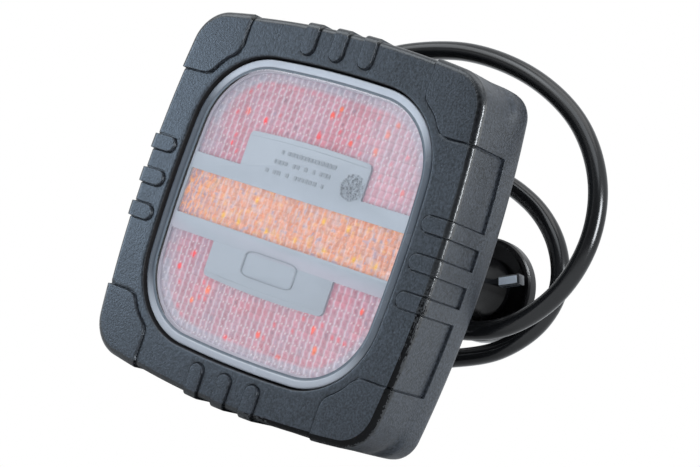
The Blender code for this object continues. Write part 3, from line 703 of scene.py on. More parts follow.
def frame_columns():
    """Outer points, outward normals and opening points of all columns."""
    half, side_r, _ = RAISED_LINE
    t = side_stations()
    outer = np.stack([reach(RAISED_LINE, t), t], -1)
    side = (outer, outer - np.array([half - side_r, 0.0]),
            np.stack([reach(OPENING_LINE, t), t], -1))
    outer, normal, inner = (np.concatenate(pair) for pair in zip(side, corner_columns()))
    normal /= np.linalg.norm(normal, axis=1)[:, None]
    turns = []
    for quarter in range(4):
        cs, sn = math.cos(quarter * math.pi / 2), math.sin(quarter * math.pi / 2)
        turns.append(np.array([[cs, -sn], [sn, cs]]))
    return tuple(np.concatenate([v @ turn.T for turn in turns]) for v in (outer, normal, inner))


def band_offsets():
    """How far each column moves along its normal to reach the rear band."""
    offsets = np.zeros(COLUMNS)
    for _ in range(12):
        q = OUTER + NORMAL * offsets[:, None]
        offsets -= bow_distance(q[:, 0], q[:, 1], BAND_LINE)
    return offsets


OUTER, NORMAL, INNER = frame_columns()
COLUMNS = len(OUTER)
ACROSS = OUTER - INNER
ACROSS /= np.linalg.norm(ACROSS, axis=1)[:, None]
BAND_OFF = band_offsets()
OUTER_DISTANCE = raised_distance(OUTER[:, 0], OUTER[:, 1])
OUTER_RAISED = smooth(-STEP, STEP, -OUTER_DISTANCE)     # 1 on tabs and pads, 0 on the base


def along_normal(offset):
    return OUTER + NORMAL * offset[:, None]


def inner_rows():
    """The wall of the opening and its rounded front edge."""
    rows = [(INNER + ACROSS * off, depth, IN_GAP) for off, depth in INNER_WALL]
    for k in range(5):
        a = math.pi / 2 * k / 5
        rows.append((INNER + ACROSS * (ROUND_IN - ROUND_IN * math.cos(a)),
                     BASE_DEPTH + ROUND_IN - ROUND_IN * math.sin(a), IN_GAP if k < 3 else PLAIN))
    return rows


def step_crossings(start, end):
    """The share of each column's way at which it crosses onto a tab or pad."""
    probe = np.linspace(0, 1, 500)
    where = start[:, None] + (end - start)[:, None] * probe[None, :, None]
    inside = raised_distance(where[..., 0], where[..., 1]) < 0
    crossing = np.where(inside.any(1), probe[np.argmax(inside, 1)], np.nan)
    known = np.nonzero(~np.isnan(crossing) & (crossing > 0.01))[0]
    return np.interp(np.arange(COLUMNS), known, crossing[known], period=COLUMNS)


def front_rows():
    """The front face; its rows gather where the columns cross a step."""
    end_up = OUTER - NORMAL * ROUND_UP
    end_base = OUTER - NORMAL * (BASE_INSET + ROUND_BASE)
    start = INNER + ACROSS * ROUND_IN
    length = np.linalg.norm(end_up - start, axis=1)
    crossing = np.clip(step_crossings(start, end_up), 0.75 / length + 0.02, 1 - 0.9 / length)
    near, far = crossing + NEAR_STEP[0] / length, crossing + NEAR_STEP[-1] / length
    shares = [near * (k / 5) for k in range(5)]
    shares += [crossing + offset / length for offset in NEAR_STEP]
    shares += [far + (0.985 - far) * (k / 9) for k in range(1, 9)]
    rows = []
    for share in shares:
        up, base = mixed(start, end_up, share), mixed(start, end_base, share)
        distance = raised_distance(up[:, 0], up[:, 1])
        raised = smooth(-STEP, STEP, -distance)
        depth = BASE_DEPTH * (1 - raised) + 0.38 * bell(distance - HOLLOW_AT, 0.13)
        # the raised tops crown slightly and fall off at their very edge
        depth = depth - 0.04 * raised * smooth(0.2, 2.5, -distance)
        depth = depth + 0.07 * raised * (1 - smooth(0.0, 0.28, -distance))
        rows.append((mixed(base, up, raised), depth, PLAIN))
    return rows


def edge_rows():
    """The rounded outer edge, with a coarse grain."""
    grain_size, row_gap = 0.62, 0.39
    run = np.concatenate([[0], np.cumsum(np.linalg.norm(np.diff(OUTER, axis=0), axis=1))])
    hollow = 0.36 * bell(OUTER_DISTANCE - HOLLOW_AT, 0.13)
    crown = smooth(0.3, 2.5, -OUTER_DISTANCE)
    rows = []
    for k in range(11):
        a = math.pi / 2 * k / 10
        sn, cs = math.sin(a), math.cos(a)
        up = OUTER - NORMAL * (ROUND_UP - ROUND_UP * sn)
        base = OUTER - NORMAL * (BASE_INSET + ROUND_BASE - ROUND_BASE * sn)
        depth_up = ROUND_UP - ROUND_UP * cs
        depth_base = BASE_DEPTH + ROUND_BASE - ROUND_BASE * cs
        noise = value_noise(run / grain_size, np.full(COLUMNS, k * row_gap / grain_size), 31)
        grain = (noise - 0.5) * 0.10 * math.sin(math.pi * min(1, k / 10 + 0.12))
        xz = mixed(base, up, OUTER_RAISED) + NORMAL * (grain - hollow * sn)[:, None]
        depth = depth_base + (depth_up - depth_base) * OUTER_RAISED + grain * cs + hollow * cs
        rows.append((xz, depth - 0.04 * OUTER_RAISED * (1 - sn) * crown, ON_EDGE))
    return rows


def side_rows():
    """The outer side wall, back to the end of the rear band.

    The band starts sharply behind the base and softly behind the tabs and pads.
    """
    rows = []
    for depth in SIDE_DEPTHS:
        sharp, soft = smooth(21.03, 21.27, depth), smooth(16.8, 22.6, depth)
        on_band = sharp + (soft - sharp) * OUTER_RAISED
        off = -BASE_INSET * (1 - OUTER_RAISED)
        off = off - 0.30 * bell(OUTER_DISTANCE - HOLLOW_AT, 0.12) * (1 - sharp)
        off = off - 0.28 * bell(depth - 20.92, 0.11) * (1 - OUTER_RAISED)
        along = min(max((depth - BAND_FRONT) / (FRAME_DEPTH - BAND_FRONT), 0), 1)
        band = BAND_OFF + 0.12 * math.sin(math.pi * along)
        valley = -0.35 * bell(depth - 18.6, 1.9) * smooth(0.15, 1.6, BAND_OFF) * OUTER_RAISED
        rows.append((along_normal(off + (band - off) * on_band + valley), depth, PLAIN))
    return rows


def rear_rows():
    """The rounded rear edge and the flat back."""
    rows = []
    for k in range(1, 6):
        a = math.pi / 2 * k / 5
        rows.append((along_normal(BAND_OFF - ROUND_REAR + ROUND_REAR * math.cos(a)),
                     FRAME_DEPTH - ROUND_REAR + ROUND_REAR * math.sin(a), PLAIN))
    start = along_normal(BAND_OFF - ROUND_REAR)
    rows += [(start + (INNER - start) * s, FRAME_DEPTH, PLAIN) for s in (0.2, 0.45, 0.7, 0.93)]
    return rows


def frame_looks(looks):
    """Material slots of the faces, from those of the rows.

    Towards the lower right corner the edge gives way, grain by grain, to a darker copy of it: a
    painted dark reflection.
    """
    between = np.array([a if a == b else PLAIN for a, b in zip(looks, looks[1:] + looks[:1])])
    faces = np.repeat(between[:, None], COLUMNS, axis=1)
    # share of painted dark reflection: more of it lower down and further right
    dark_reach = smooth(2, -46, OUTER[:, 1]) * smooth(8, 30, OUTER[:, 0])
    near_front = 1 - smooth(3.5, 8.5, np.arange(len(looks)) - looks.index(ON_EDGE))
    draws = np.random.RandomState(11).rand(*faces.shape)
    turned = (faces == ON_EDGE) & (draws < 1.15 * dark_reach * near_front[:, None])
    return np.where(turned, DARK_REFLECTION, faces).ravel()


def rubber_frame():
    rows = inner_rows() + front_rows() + edge_rows() + side_rows() + rear_rows()
    return piece("frame_body", np.concatenate([at_depth(xz, depth) for xz, depth, _ in rows]),
                 grid_faces(len(rows), COLUMNS, wrap_rows=True), [RUBBER, GAP, EDGE, EDGE_PAINTED_DARK],
                 indices=frame_looks([look for _, _, look in rows]))


rubber = stand(rubber_frame(), "frame_rubber", "rubber_frame")

# ------------------------------------------------------------------ lens

# distance inwards from the outline, depth; the front from its outer rim inwards
LENS_FRONT = (
    (0.0, 5.9), (0.0, 5.0), (0.0, 4.0), (0.0, 3.3), (0.03, 2.95), (0.12, 2.72), (0.30, 2.55),
    (0.6, 2.46), (1.1, 2.42), (1.7, 2.42), (2.2, 2.45), (2.5, 2.50), (2.7, 2.58), (2.82, 2.70),
    (2.92, 2.84), (3.05, 2.95), (3.3, 3.02), (3.6, 3.03), (3.85, 3.0), (3.95, 2.94),
    (4.05, 2.88), (4.2, 2.83), (4.45, 2.80), (4.9, 2.78))
LENS_BACK = ((0.35, 5.9), (2.2, 5.9), (2.5, 5.85), (2.62, 5.6), (2.75, 5.3), (3.1, 5.2),
             (4.9, 5.2))
PANE_INSET, PANE_DEPTH = LENS_FRONT[-1]
PANE_BACK = LENS_BACK[-1][1]
CROWN = 0.55
RIM_END, GROOVE_END = 2.85, 3.9             # distances inwards where the rim and groove end


def outer_lens():
    on_pane, on_rim, in_groove = range(3)
    outline = np.array(bowed_square(LENS_LINE, 56, 40))
    # one millimetre inwards along the outline's normal
    inward = np.array(bowed_square(shrunk(LENS_LINE, 1.0), 56, 40)) - outline
    pane_edge = outline + inward * PANE_INSET
    count = len(outline)

    front = [at_depth(outline + inward * off, depth) for off, depth in LENS_FRONT]
    looks = [on_rim if off < RIM_END else in_groove if off < GROOVE_END else on_pane
             for off, _ in LENS_FRONT]
    for s in np.linspace(0.95, 0.05, 19):
        front.append(at_depth(pane_edge * s, PANE_DEPTH - CROWN * (1 - s * s)))
        looks.append(on_pane)
    back = [at_depth(outline + inward * off, depth) for off, depth in LENS_BACK]
    back += [at_depth(pane_edge * s, PANE_BACK) for s in (0.8, 0.5, 0.2, 0.05)]
    rows = len(front) + len(back)
    middles = [[(0, y_of(PANE_DEPTH - CROWN), 0)], [(0, y_of(PANE_BACK), 0)]]
    points = np.concatenate(front + back[::-1] + middles)

    # fans at the two middles take the place of the wall between the innermost rings
    faces = grid_faces(rows, count)
    top, bottom = (len(front) - 1) * count, len(front) * count
    faces = faces[:top] + faces[bottom:]
    middle, last = rows * count, (rows - 1) * count
    ring = [(i, (i + 1) % count) for i in range(count)]
    for i, j in ring:
        faces += [(top + i, top + j, middle), (bottom + j, bottom + i, middle + 1)]
    faces += [(i, last + i, last + j, j) for i, j in ring]      # the outer wall at the back
    indices = np.repeat(looks[:-1] + [on_pane] * (len(back) + 1) + [on_rim], count)
    lens = piece("lens_body", points, faces, [CLEAR, RIM, GROOVE], sharp=50, indices=indices)
    face_outwards(lens.data)

    # the rim's tone is painted light: painted reflection, pale at the top and less so at the
    # bottom, and painted shade, dark at the sides
    upright = smooth(0.25, 0.85, np.abs(inward[:, 1]))
    tone = (srgb(79, 87, 97)[None, :] * (1 - upright[:, None])
            + srgb(184, 192, 204)[None, :] * upright[:, None])
    tone = tone * (1 - 0.26 * upright * (outline[:, 1] < 0))[:, None]
    paint(lens, np.concatenate([np.tile(tone, (rows, 1)), tone[:1], tone[:1]]))
    lens.visible_shadow = False
    lens.visible_diffuse = False
    return lens


stand(outer_lens(), "lens_clear", "outer_lens")

# ------------------------------------------------------------------ mask with its bars and plates

AMBER_Z = (-9.4, 8.3)
# notch plates: where they start, and the bowed far edge's height at its ends and middle
UPPER_Z, UPPER_NOTCH = 14.7, (28.4, 29.2)
LOWER_Z, LOWER_NOTCH = -15.8, (-29.2, -30.1)
NOTCH_X, NOTCH_R = 29.4, 2.2
DETAIL_DEPTH = 5.35                         # centre of the small raised details
DASH_ROWS = ((-12, 13, 23.6, 1), (-14, 13, 19.7, 2), (-18, 13, 15.6, 3))    # x from, to, z, seed
SPOT_X, SPOT_Z, SPOT_R = 24.0, 18.3, 5.3


def clipped(points, above=None, below=None):
    """The outline cut to the heights between two limits."""
    for limit, sign in ((above, 1), (below, -1)):
        if limit is None:
            continue
        kept = []
        for i, p in enumerate(points):
            q = points[(i + 1) % len(points)]
            inside_p, inside_q = sign * (p[1] - limit) >= 0, sign * (q[1] - limit) >= 0
            if inside_p:
                kept.append(p)
            if inside_p != inside_q:
                t = (limit - p[1]) / (q[1] - p[1])
                kept.append((p[0] + t * (q[0] - p[0]), limit))
        points = kept
    return points


def plate_edge(notch, z_edge, steps=24):
    """The bowed far edge of a notch plate with its round corners, left to right."""
    ends, middle = notch
    half_x, r = NOTCH_X, NOTCH_R
    s = 1 if ends > z_edge else -1
    angles = (0.0, 0.4, 0.8, 1.2, math.pi / 2)
    points = [(-half_x, z_edge)]
    points += [(-half_x + r - r * math.cos(a), ends - s * (r - r * math.sin(a))) for a in angles]
    for i in range(1, steps):
        t = i / steps
        points.append((-half_x + r + (2 * half_x - 2 * r) * t,
                       ends + (middle - ends) * (1 - (2 * t - 1) ** 2)))
    points += [(half_x - r + r * math.sin(a), ends - s * (r - r * math.cos(a))) for a in angles]
    points.append((half_x, z_edge))
    return points


def window_round(points, notch, z_edge):
    """A window outline cut at z_edge, stepped round the notch plate."""
    sign = 1 if notch[0] > z_edge else -1
    row = sorted([p for p in points if abs(p[1] - z_edge) < 1e-6], key=lambda p: p[0])
    rest = [p for p in points if abs(p[1] - z_edge) >= 1e-6]
    rest.sort(key=lambda p: math.atan2(p[1] - z_edge, p[0]) * sign)
    return [row[-1]] + rest + [row[0]] + plate_edge(notch, z_edge)


def mask_sheet():
    window = bowed_square(WINDOW_LINE)
    upper = window_round(clipped(window, above=UPPER_Z), UPPER_NOTCH, UPPER_Z)
    lower = window_round(clipped(window, below=LOWER_Z), LOWER_NOTCH, LOWER_Z)
    amber = clipped(window, above=AMBER_Z[0], below=AMBER_Z[1])
    return slab("mask_body", [bowed_square(MASK_LINE), upper, amber, lower], 5.6, 6.8, MASK,
                bevel=0.28)


def ridge(name, notch, back_off):
    """A fine ridge along a plate, a little short of its far edge."""
    half_width = 0.17
    ends, middle = notch[0] + back_off, notch[1] + back_off
    line = []
    for i in range(41):
        u = -1 + 2 * i / 40
        line.append(((NOTCH_X - 0.8) * u, ends + (middle - ends) * (1 - u * u)))
    outline = [(x, z + half_width) for x, z in line]
    outline += [(x, z - half_width) for x, z in reversed(line)]
    return slab(name, [outline], 5.48, 5.9, MASK, bevel=0.07)


def add_detail(bm, x, z, width, thick, height, turn=0.0):
    """A small block on the mask's front."""
    bmesh.ops.create_cube(
        bm, size=1.0,
        matrix=Matrix.Translation((x * MM, y_of(DETAIL_DEPTH) * MM, z * MM))
        @ Matrix.Rotation(turn, 4, 'Y')
        @ Matrix.Diagonal((width * MM, thick * MM, height * MM, 1)))


def detail_object(name, bm):
    mesh = bpy.data.meshes.new(name)
    bm.to_mesh(mesh)
    bm.free()
    mesh.materials.append(MASK)
    return add_object(name, mesh)


def dashes():
    """Rows of plain short raised dashes, which stand for the plate's moulded rows."""
    bm = bmesh.new()
    for x, end, z, seed in DASH_ROWS:
        k = 0
        while x < end:
            width = 0.7 + 1.1 * float(hashed(k, seed, 3))
            if hashed(k, seed, 5) > 0.16:
                add_detail(bm, x + width / 2, z, width, 0.14, 1.5)
            x += width + 0.55
            k += 1
    return detail_object("rows", bm)


def grained_spot():
    """A round spot of small turned blocks beside the rows."""
    bm = bmesh.new()
    rng = np.random.RandomState(4)
    for _ in range(330):
        a = rng.rand() * 2 * math.pi
        r = 5.1 * math.sqrt(rng.rand())
        width = 0.35 + 0.5 * rng.rand()
        turn = rng.rand() * 3.1
        thick = 0.1 + 0.14 * rng.rand()
        add_detail(bm, SPOT_X + r * math.cos(a), SPOT_Z + r * math.sin(a), width, thick, 0.3,
                   turn)
    return detail_object("grained_spot", bm)


def blank_field():
    """A plain raised outline on the lower plate."""
    field = slab("blank_field", [bowed_square((8.0, 200.0, 3.0), 10, 8),
                                 bowed_square((7.55, 200.0, 2.6), 10, 8)], 5.26, 5.6, MASK)
    field.data.transform(Matrix.Translation((0, 0, -19.6 * MM))
                         @ Matrix.Diagonal((1.6, 1, 0.62, 1)))
    return field


def mask_tones(x, y, z):
    tone = srgb(171, 180, 191)[None, :] * np.ones((len(x), 1))
    lower_plate = smooth(-9.0, -16.0, z) * smooth(34, 24, np.abs(x))
    tone = tone * (1 - 0.12 * lower_plate[:, None])
    tone[(y < y_of(5.33)) & (np.abs(x) < 28)] *= 0.74           # fronts of the raised details
    upper_plate = smooth(13.5, 15.0, z) * smooth(30.5, 29.8, np.abs(x))
    tone = tone * (1 - 0.09 * upper_plate[:, None])
    border = smooth(-0.4, 0.1, bow_distance(x, z, WINDOW_LINE)) * smooth(14.5, 15.5, np.abs(z))
    tone = tone * (1 - border[:, None]) + srgb(178, 172, 185)[None, :] * border[:, None]
    # darker towards the bottom: painted shade
    tone = tone * (1 - 0.045 * smooth(-4, -8, z))[:, None]
    spot = np.hypot(x - SPOT_X, z - SPOT_Z) < SPOT_R
    speck = hashed(np.floor(x / 0.42), np.floor(z / 0.42), 51)
    grain = np.where(speck < 0.36, 0.52, np.where(speck > 0.75, 1.45, 1.05))
    tone[spot] *= grain[spot][:, None]
    return tone


mask = joined("mask_body", [mask_sheet(), ridge("upper_ridge", UPPER_NOTCH, -1.75),
                            ridge("lower_ridge", LOWER_NOTCH, 1.9), dashes(), grained_spot(),
                            blank_field()], sharp=30)
paint(mask, mask_tones(*(np.array([v.co for v in mask.data.vertices]) / MM).T))
mask.visible_shadow = False
stand(mask, "mask_grey", "light_mask")

# ------------------------------------------------------------------ optics

PITCH_X, PITCH_Z, SEAM_X = 2.93, 2.905, -50.14
UPPER_SEAM_Z, LOWER_SEAM_Z, AMBER_SEAM_Z = 14.75, -15.75, 8.46
OPTIC_FRONT, OPTIC_BACK = 7.1, 9.3
OPTIC_STEP = 0.34
# bright spots: x, z
RED_SPOTS = (
    (-37.9, 21.8), (44.6, 21.5), (30.5, 40.2), (42, 34.1), (4, 41.8), (7, 44.8), (-25.6, 33),
    (-35, 35), (33.6, 44.5), (0.9, 33.3), (16, 33.7), (27.8, 33), (-37.9, -22.8),
    (44.6, -22.5), (30.5, -41.2), (42, -35.1), (4, -42.8), (-25.6, -34), (-42.5, -29),
    (27, -34.4), (-31.4, -39.4), (-10.2, -48.6), (16, -48.6))
AMBER_SPOTS = ((-16.8, 3.7), (15.9, 3.7), (27.5, 3.7), (-22, -6), (-30, -5.6), (6, -6),
               (20, -6.2), (34, -6), (44, -5.8), (-8, -6.1))


def split(u, v):
    """Column, place across it, row and place in it, of coordinates counted in cells."""
    col, row = np.floor(u), np.floor(v)
    return col, u - col, row, v - row


def to_seam(t):
    return np.minimum(t, 1 - t)


def pillow(u, v, across, up):
    return across * (1 - (2 * u - 1) ** 2) + up * (1 - (2 * v - 1) ** 2)


def red_cells(x, z):
    v = np.where(z > 0, (z - UPPER_SEAM_Z) / PITCH_Z, (LOWER_SEAM_Z - z) / PITCH_Z)
    lean = (0.045 * np.sin(2 * math.pi * (v - np.floor(v)))
            + 0.04 * (value_noise(x / 3.0, z / 3.0, 1) - 0.5))
    return split((x - SEAM_X) / PITCH_X + lean, v)


def amber_cells(x, z, lean=0.0):
    warp = value_noise(x / 1.7, z / 2.4, 21) - 0.5
    v = (z - AMBER_SEAM_Z) / PITCH_X
    u = (x - SEAM_X) / PITCH_X + 0.10 * warp + lean * (v - np.floor(v) - 0.5)
    return (*split(u, v), warp)


def red_relief(x, z):
    """Height of the pillow prisms over the optic's plane."""
    col, u, row, v = red_cells(x, z)
    return pillow(u, v, across=0.34, up=0.14) + 0.05 * hashed(col, row, 9)


def amber_relief(x, z):
    _, u, _, v, _ = amber_cells(x, z)
    return (pillow(u, v, across=0.30, up=0.14)
            + 0.22 * (value_noise(x / 0.8, z / 1.2, 26) - 0.5))


def red_colours(x, z):
    col, u, row, v = red_cells(x, z)
    cell = hashed(col, row, 2)
    cluster = value_noise(x / 9.0, z / 7.0, 3)
    # rosy grey, deeper in each prism's middle and towards the lower left
    colour = np.tile(srgb(207, 160, 174), (len(x), 1))
    middle = blob(u - 0.5, v - 0.5, 0.30, 0.42)
    colour = mixed(colour, srgb(182, 118, 136), 0.90 * middle)
    colour = colour * (1 - 0.10 * smooth(10, -30, x + 0.8 * z))[:, None]
    # redder clusters, then uneven brightness from cell to cell
    colour = mixed(colour, srgb(214, 120, 134),
                   smooth(0.45, 0.85, cluster) * 0.55 * (0.4 + 0.6 * cell))
    colour = colour * (0.90 + 0.22 * hashed(col, row, 4))[:, None]
    # a few dark and a few bright rosy cells
    dark = (hashed(col, row, 6) > 0.93) * blob(u - 0.5, v - 0.5, 0.28, 0.35)
    colour = mixed(colour, srgb(118, 108, 124), 0.6 * dark)
    rosy = (hashed(col, row, 7) > 0.91) * blob(u - 0.45, v - 0.5, 0.22, 0.34)
    colour = mixed(colour, srgb(238, 88, 100), 0.75 * rosy * smooth(0.3, 0.6, cluster))
    # ragged bright spots
    ragged = 0.45 * (value_noise(x / 0.9, z / 0.9, 41) - 0.5)
    for k, (sx, sz) in enumerate(RED_SPOTS):
        wide = 0.85 + 0.45 * ((k * 7) % 5) / 4
        spot = blob(x - sx, z - sz, wide, wide * 1.3) + ragged * blob(x - sx, z - sz, 2.0, 2.4)
        colour = mixed(colour, srgb(255, 66 + 26 * (k % 3), 76), smooth(0.12, 0.75, spot))
    # a grey wash along the far edges and the left side
    edge = bow_distance(x, z, WINDOW_LINE)
    far = smooth(-4.2, -2.2, edge) * smooth(24, 34, np.abs(z))
    left = smooth(-9.0, -2.5, edge) * smooth(-28, -46, x) * 0.6
    wash = np.clip(far * 0.75 + left * (0.6 + 0.4 * cell), 0, 0.9)
    colour = mixed(colour, srgb(182, 182, 195), wash * (0.70 + 0.30 * cell))
    colour = mixed(colour, srgb(140, 143, 160), wash * 0.75 * blob(u - 0.5, v - 0.5, 0.26, 0.36))
    # ashen columns, and a pale veil at the upper right, a painted reflection
    ash = (hashed(col, 0, 15) > 0.62) * smooth(0.35, 0.7, value_noise(x / 6.0, z / 9.0, 16))
    colour = mixed(colour, srgb(166, 160, 178), ash * 0.55 * middle)
    colour = mixed(colour, srgb(214, 196, 208), 0.38 * smooth(12, 32, x) * smooth(0, 8, z))
    # dark lines between rows; pale seams between columns and white dots where rows meet are painted
    # reflections and glints on the prisms' rounded edges
    line = bell(to_seam(v), 0.10)
    seam = bell(to_seam(u), 0.105) * (1 - 0.40 * line)
    colour = colour * (1 - 0.20 * line)[:, None]
    colour = mixed(colour, srgb(212, 212, 223),
                   0.85 * seam * (0.60 + 0.40 * hashed(col, row, 12)))
    dot = blob(u - 0.5, to_seam(v), 0.085, 0.085) * (hashed(col, row + (v > 0.5), 8) > 0.45)
    return mixed(colour, np.array((0.95, 0.95, 0.97)), 0.9 * dot)


def amber_colours(x, z):
    col, u, row, v, warp = amber_cells(x, z, lean=0.05)
    streak = value_noise(x / 0.55 + 3 * warp, z / 1.9 + 2 * warp, 22)
    # peach, with duller cells, orange streaks and pale, lilac and yellow blotches
    colour = np.tile(srgb(240, 172, 148), (len(x), 1))
    colour = mixed(colour, srgb(216, 156, 140), 0.75 * (hashed(col, row, 27) > 0.55))
    colour = mixed(colour, srgb(243, 150, 108), smooth(0.4, 0.8, streak) * 0.65)
    colour = mixed(colour, srgb(226, 190, 186),
                   smooth(0.55, 0.85, value_noise(x / 1.1, z / 2.2, 24)) * 0.8)
    colour = mixed(colour, srgb(188, 172, 192),
                   smooth(0.72, 0.9, value_noise(x / 1.3 + 9, z / 1.5, 25)) * 0.8)
    colour = mixed(colour, srgb(250, 186, 120),
                   smooth(0.72, 0.88, value_noise(x / 1.5, z / 1.6, 23)) * 0.6)
    colour = colour * (1 - 0.10 * blob(u - 0.5, v - 0.5, 0.30, 0.42))[:, None]
    # greyer at the left end, between brighter streaks
    left = smooth(-32, -48, x)
    colour = mixed(colour, srgb(176, 142, 158), left * 0.80 * smooth(0.62, 0.35, streak))
    colour = mixed(colour, srgb(250, 168, 110), left * 0.7 * smooth(0.62, 0.78, streak))
    for sx, sz in AMBER_SPOTS:
        spot = blob(x - sx, z - sz, 0.75, 1.05)
        colour = mixed(colour, srgb(255, 196, 70), np.clip(1.15 * spot, 0, 1))
    # pale squiggles, pale seams as painted reflections on the prisms' edges, and dark lines between
    # rows
    squiggle = np.abs(value_noise(x / 1.1, z / 1.5, 28) - 0.5)
    colour = mixed(colour, srgb(252, 214, 190), bell(squiggle, 0.03) * 0.55)
    seam = bell(to_seam(u), 0.11)
    colour = mixed(colour, srgb(232, 206, 206),
                   0.62 * seam * smooth(0.25, 0.6, hashed(col, row, 29)))
    return colour * (1 - 0.15 * bell(to_seam(v), 0.09) * (1 - seam))[:, None]


def all_corners(flags):
    """For each cell of a grid, whether all its four corners are flagged."""
    return flags[:-1, :-1] & flags[1:, :-1] & flags[:-1, 1:] & flags[1:, 1:]


def optic(name, z0, z1, height, colours):
    """A prism plate: a fine grid with its rim drawn onto the optic outline, and a flat back."""
    half_x = 53.5
    nx, nz = int(2 * half_x / OPTIC_STEP) + 1, int((z1 - z0) / OPTIC_STEP) + 1
    grid_x, grid_z = np.meshgrid(np.linspace(-half_x, half_x, nx), np.linspace(z0, z1, nz))
    x, z = grid_x.ravel(), grid_z.ravel()
    # pull points that lie outside sideways onto the outline
    for _ in range(4):
        distance = bow_distance(x, z, OPTIC_LINE)
        slope = (bow_distance(x + 0.01, z, OPTIC_LINE) - distance) / 0.01
        pull = distance * np.sign(slope) * (1 / np.maximum(np.abs(slope), 0.35))
        x = np.where(distance > 0, x - pull, x)
    # keep the cells that reached it and weren't pulled as a whole
    reached = (bow_distance(x, z, OPTIC_LINE) < 0.4).reshape(nz, nx)
    moved = np.abs(x - grid_x.ravel()).reshape(nz, nx) > OPTIC_STEP * 1.2
    rows, cols = np.nonzero(all_corners(reached) & ~all_corners(moved))
    first = rows * nx + cols
    quads = np.stack([first, first + 1, first + nx + 1, first + nx], -1)
    used, inverse = np.unique(quads, return_inverse=True)
    quads = inverse.reshape(quads.shape).tolist()
    x, z = x[used], z[used]
    n = len(used)
    front = np.stack([x, y_of(OPTIC_FRONT - height(x, z)), z], -1)
    back = np.stack([x, np.full(n, y_of(OPTIC_BACK)), z], -1)
    # edges met from one side only are the border
    border = {}
    for quad in quads:
        for p, q in zip(quad, quad[1:] + quad[:1]):
            if border.pop((q, p), None) is None:
                border[(p, q)] = True
    faces = quads + [[n + corner for corner in reversed(quad)] for quad in quads]
    faces += [[q, p, n + p, n + q] for p, q in border]
    obj = piece(name, np.concatenate([front, back]), faces, [OPTIC], sharp=60)
    paint(obj, np.tile(colours(x, z), (2, 1)))
    return obj


stand(optic("optic_upper", 11.7, 53.4, red_relief, red_colours), "optic_red", "red_optic_upper")
stand(optic("optic_amber", -12.4, 11.3, amber_relief, amber_colours), "optic_amber",
      "amber_optic")
stand(optic("optic_lower", -53.4, -12.8, red_relief, red_colours), "optic_red",
      "red_optic_lower")

# ------------------------------------------------------------------ housing, plate and their screws

SCREW_X, SCREW_Z = 36, 20


def lamp_housing():
    tub = slab("housing_body", [bowed_square(TUB_OUT_LINE), bowed_square(TUB_IN_LINE)],
               7.5, 31.0, HOUSING)
    # the feet's nuts stand in round openings of the floor
    tub_floor = slab("tub_floor", [bowed_square(TUB_OUT_LINE), circle(-FOOT_X, 0, 6.7),
                                   circle(FOOT_X, 0, 6.7)],
                     30.0, 33.0, HOUSING, bevel=0.9, segments=3)
    flange = slab("tub_flange", [bowed_square(FLANGE_LINE),
                                 bowed_square(shrunk(TUB_IN_LINE, -0.8))],
                  14.4, 18.6, HOUSING, bevel=0.3)
    cable_box = box("cable_box", *CABLE_BOX, 31.0, 56.0, HOUSING, bevel=1.3, segments=4)
    return joined("housing_body", [tub, tub_floor, flange, cable_box], sharp=32)


def mounting_plate():
    gap = 0.8                               # round the cable box
    x0, x1, z0, z1 = CABLE_BOX
    return slab("bracket_plate",
                [rounded_rect(-64, 64, -27, 27, 10),
                 rounded_rect(x0 - gap, x1 + gap, z0 - gap, z1 + gap, 1.2, 5),
                 circle(-FOOT_X, 0, 3.4), circle(FOOT_X, 0, 3.4)],
                33.4, 35.4, ZINC, bevel=0.35, segments=3)


def plate_screw(name, x, z):
    """A cross-slotted screw."""
    shank = [(0, 25.4), (1.0, 25.4), (1.75, 26.6), (1.75, 35.7)]
    head = fillet([(1.75, 35.7), (3.7, 35.7), (3.72, 36.7), (3.1, 37.5), (1.8, 37.9), (0, 37.9)],
                  0.5)
    screw = lathe(name, shank + head[1:], along_y(x, z), ZINC, 48)
    slots = [box("slot", x - half_x, x + half_x, z - half_z, z + half_z, 36.7, 39.0, ZINC,
                 turn=25)
             for half_x, half_z in ((2.2, 0.36), (0.36, 2.2))]
    return cut(screw, slots)


BREATHER = [(0, 28.6), (2.7, 28.6), (2.7, 33.3), (5.2, 33.3), (5.2, 34.8), (4.4, 35.6), (0, 35.6)]

stand(lamp_housing(), "housing_black", "lamp_housing")
stand(lathe("breather_cap", fillet(BREATHER, 0.35), along_y(22, 34), HOUSING, 64),
      "housing_black", "breather_plug")
stand(mounting_plate(), "steel_zinc", "mounting_plate")
for level, z in (("bottom", -SCREW_Z), ("top", SCREW_Z)):
    for side, x in (("left", -SCREW_X), ("right", SCREW_X)):
        label = "%s_%s" % (level, side)
        stand(plate_screw("plate_screw_look_" + label, x, z), "steel_zinc",
              "plate_screw_" + label)

# ------------------------------------------------------------------ cable gland
# profiles: radius, height over the cable box

GLAND_BODY = [(5.9, 9.6), (5.9, 3.6), (8.3, 3.6), (8.3, 0.4), (4.9, 0.4), (4.9, -5.0),
              (3.9, -5.0), (3.9, 4.4), (5.1, 4.4), (5.1, 9.6)]
GLAND_NUT = [(3.9, 12.6), (5.6, 12.6), (7.9, 10.4), (7.9, 4.0), (6.3, 4.0), (6.3, 10.2),
             (3.9, 10.2)]


def hexagonal(angle, r, h):
    """Six hollows round the collar of the gland body."""
    return -0.55 * np.abs(np.sin(3 * angle)) ** 1.5 * (r > 7.5)


def ribs(count, depth, beyond, fade=lambda h: 1.0):
    """Ribs round the parts of a lathe beyond a radius."""
    return lambda angle, r, h: (-depth * (0.5 + 0.5 * np.cos(count * angle)) * fade(h)
                                * (r > beyond))


def plastic_ring(name, profile, radius, place, steps, shape):
    return lathe(name, fillet(profile, radius, closed=True), place, PLUG, steps, closed=True,
                 shape=shape)


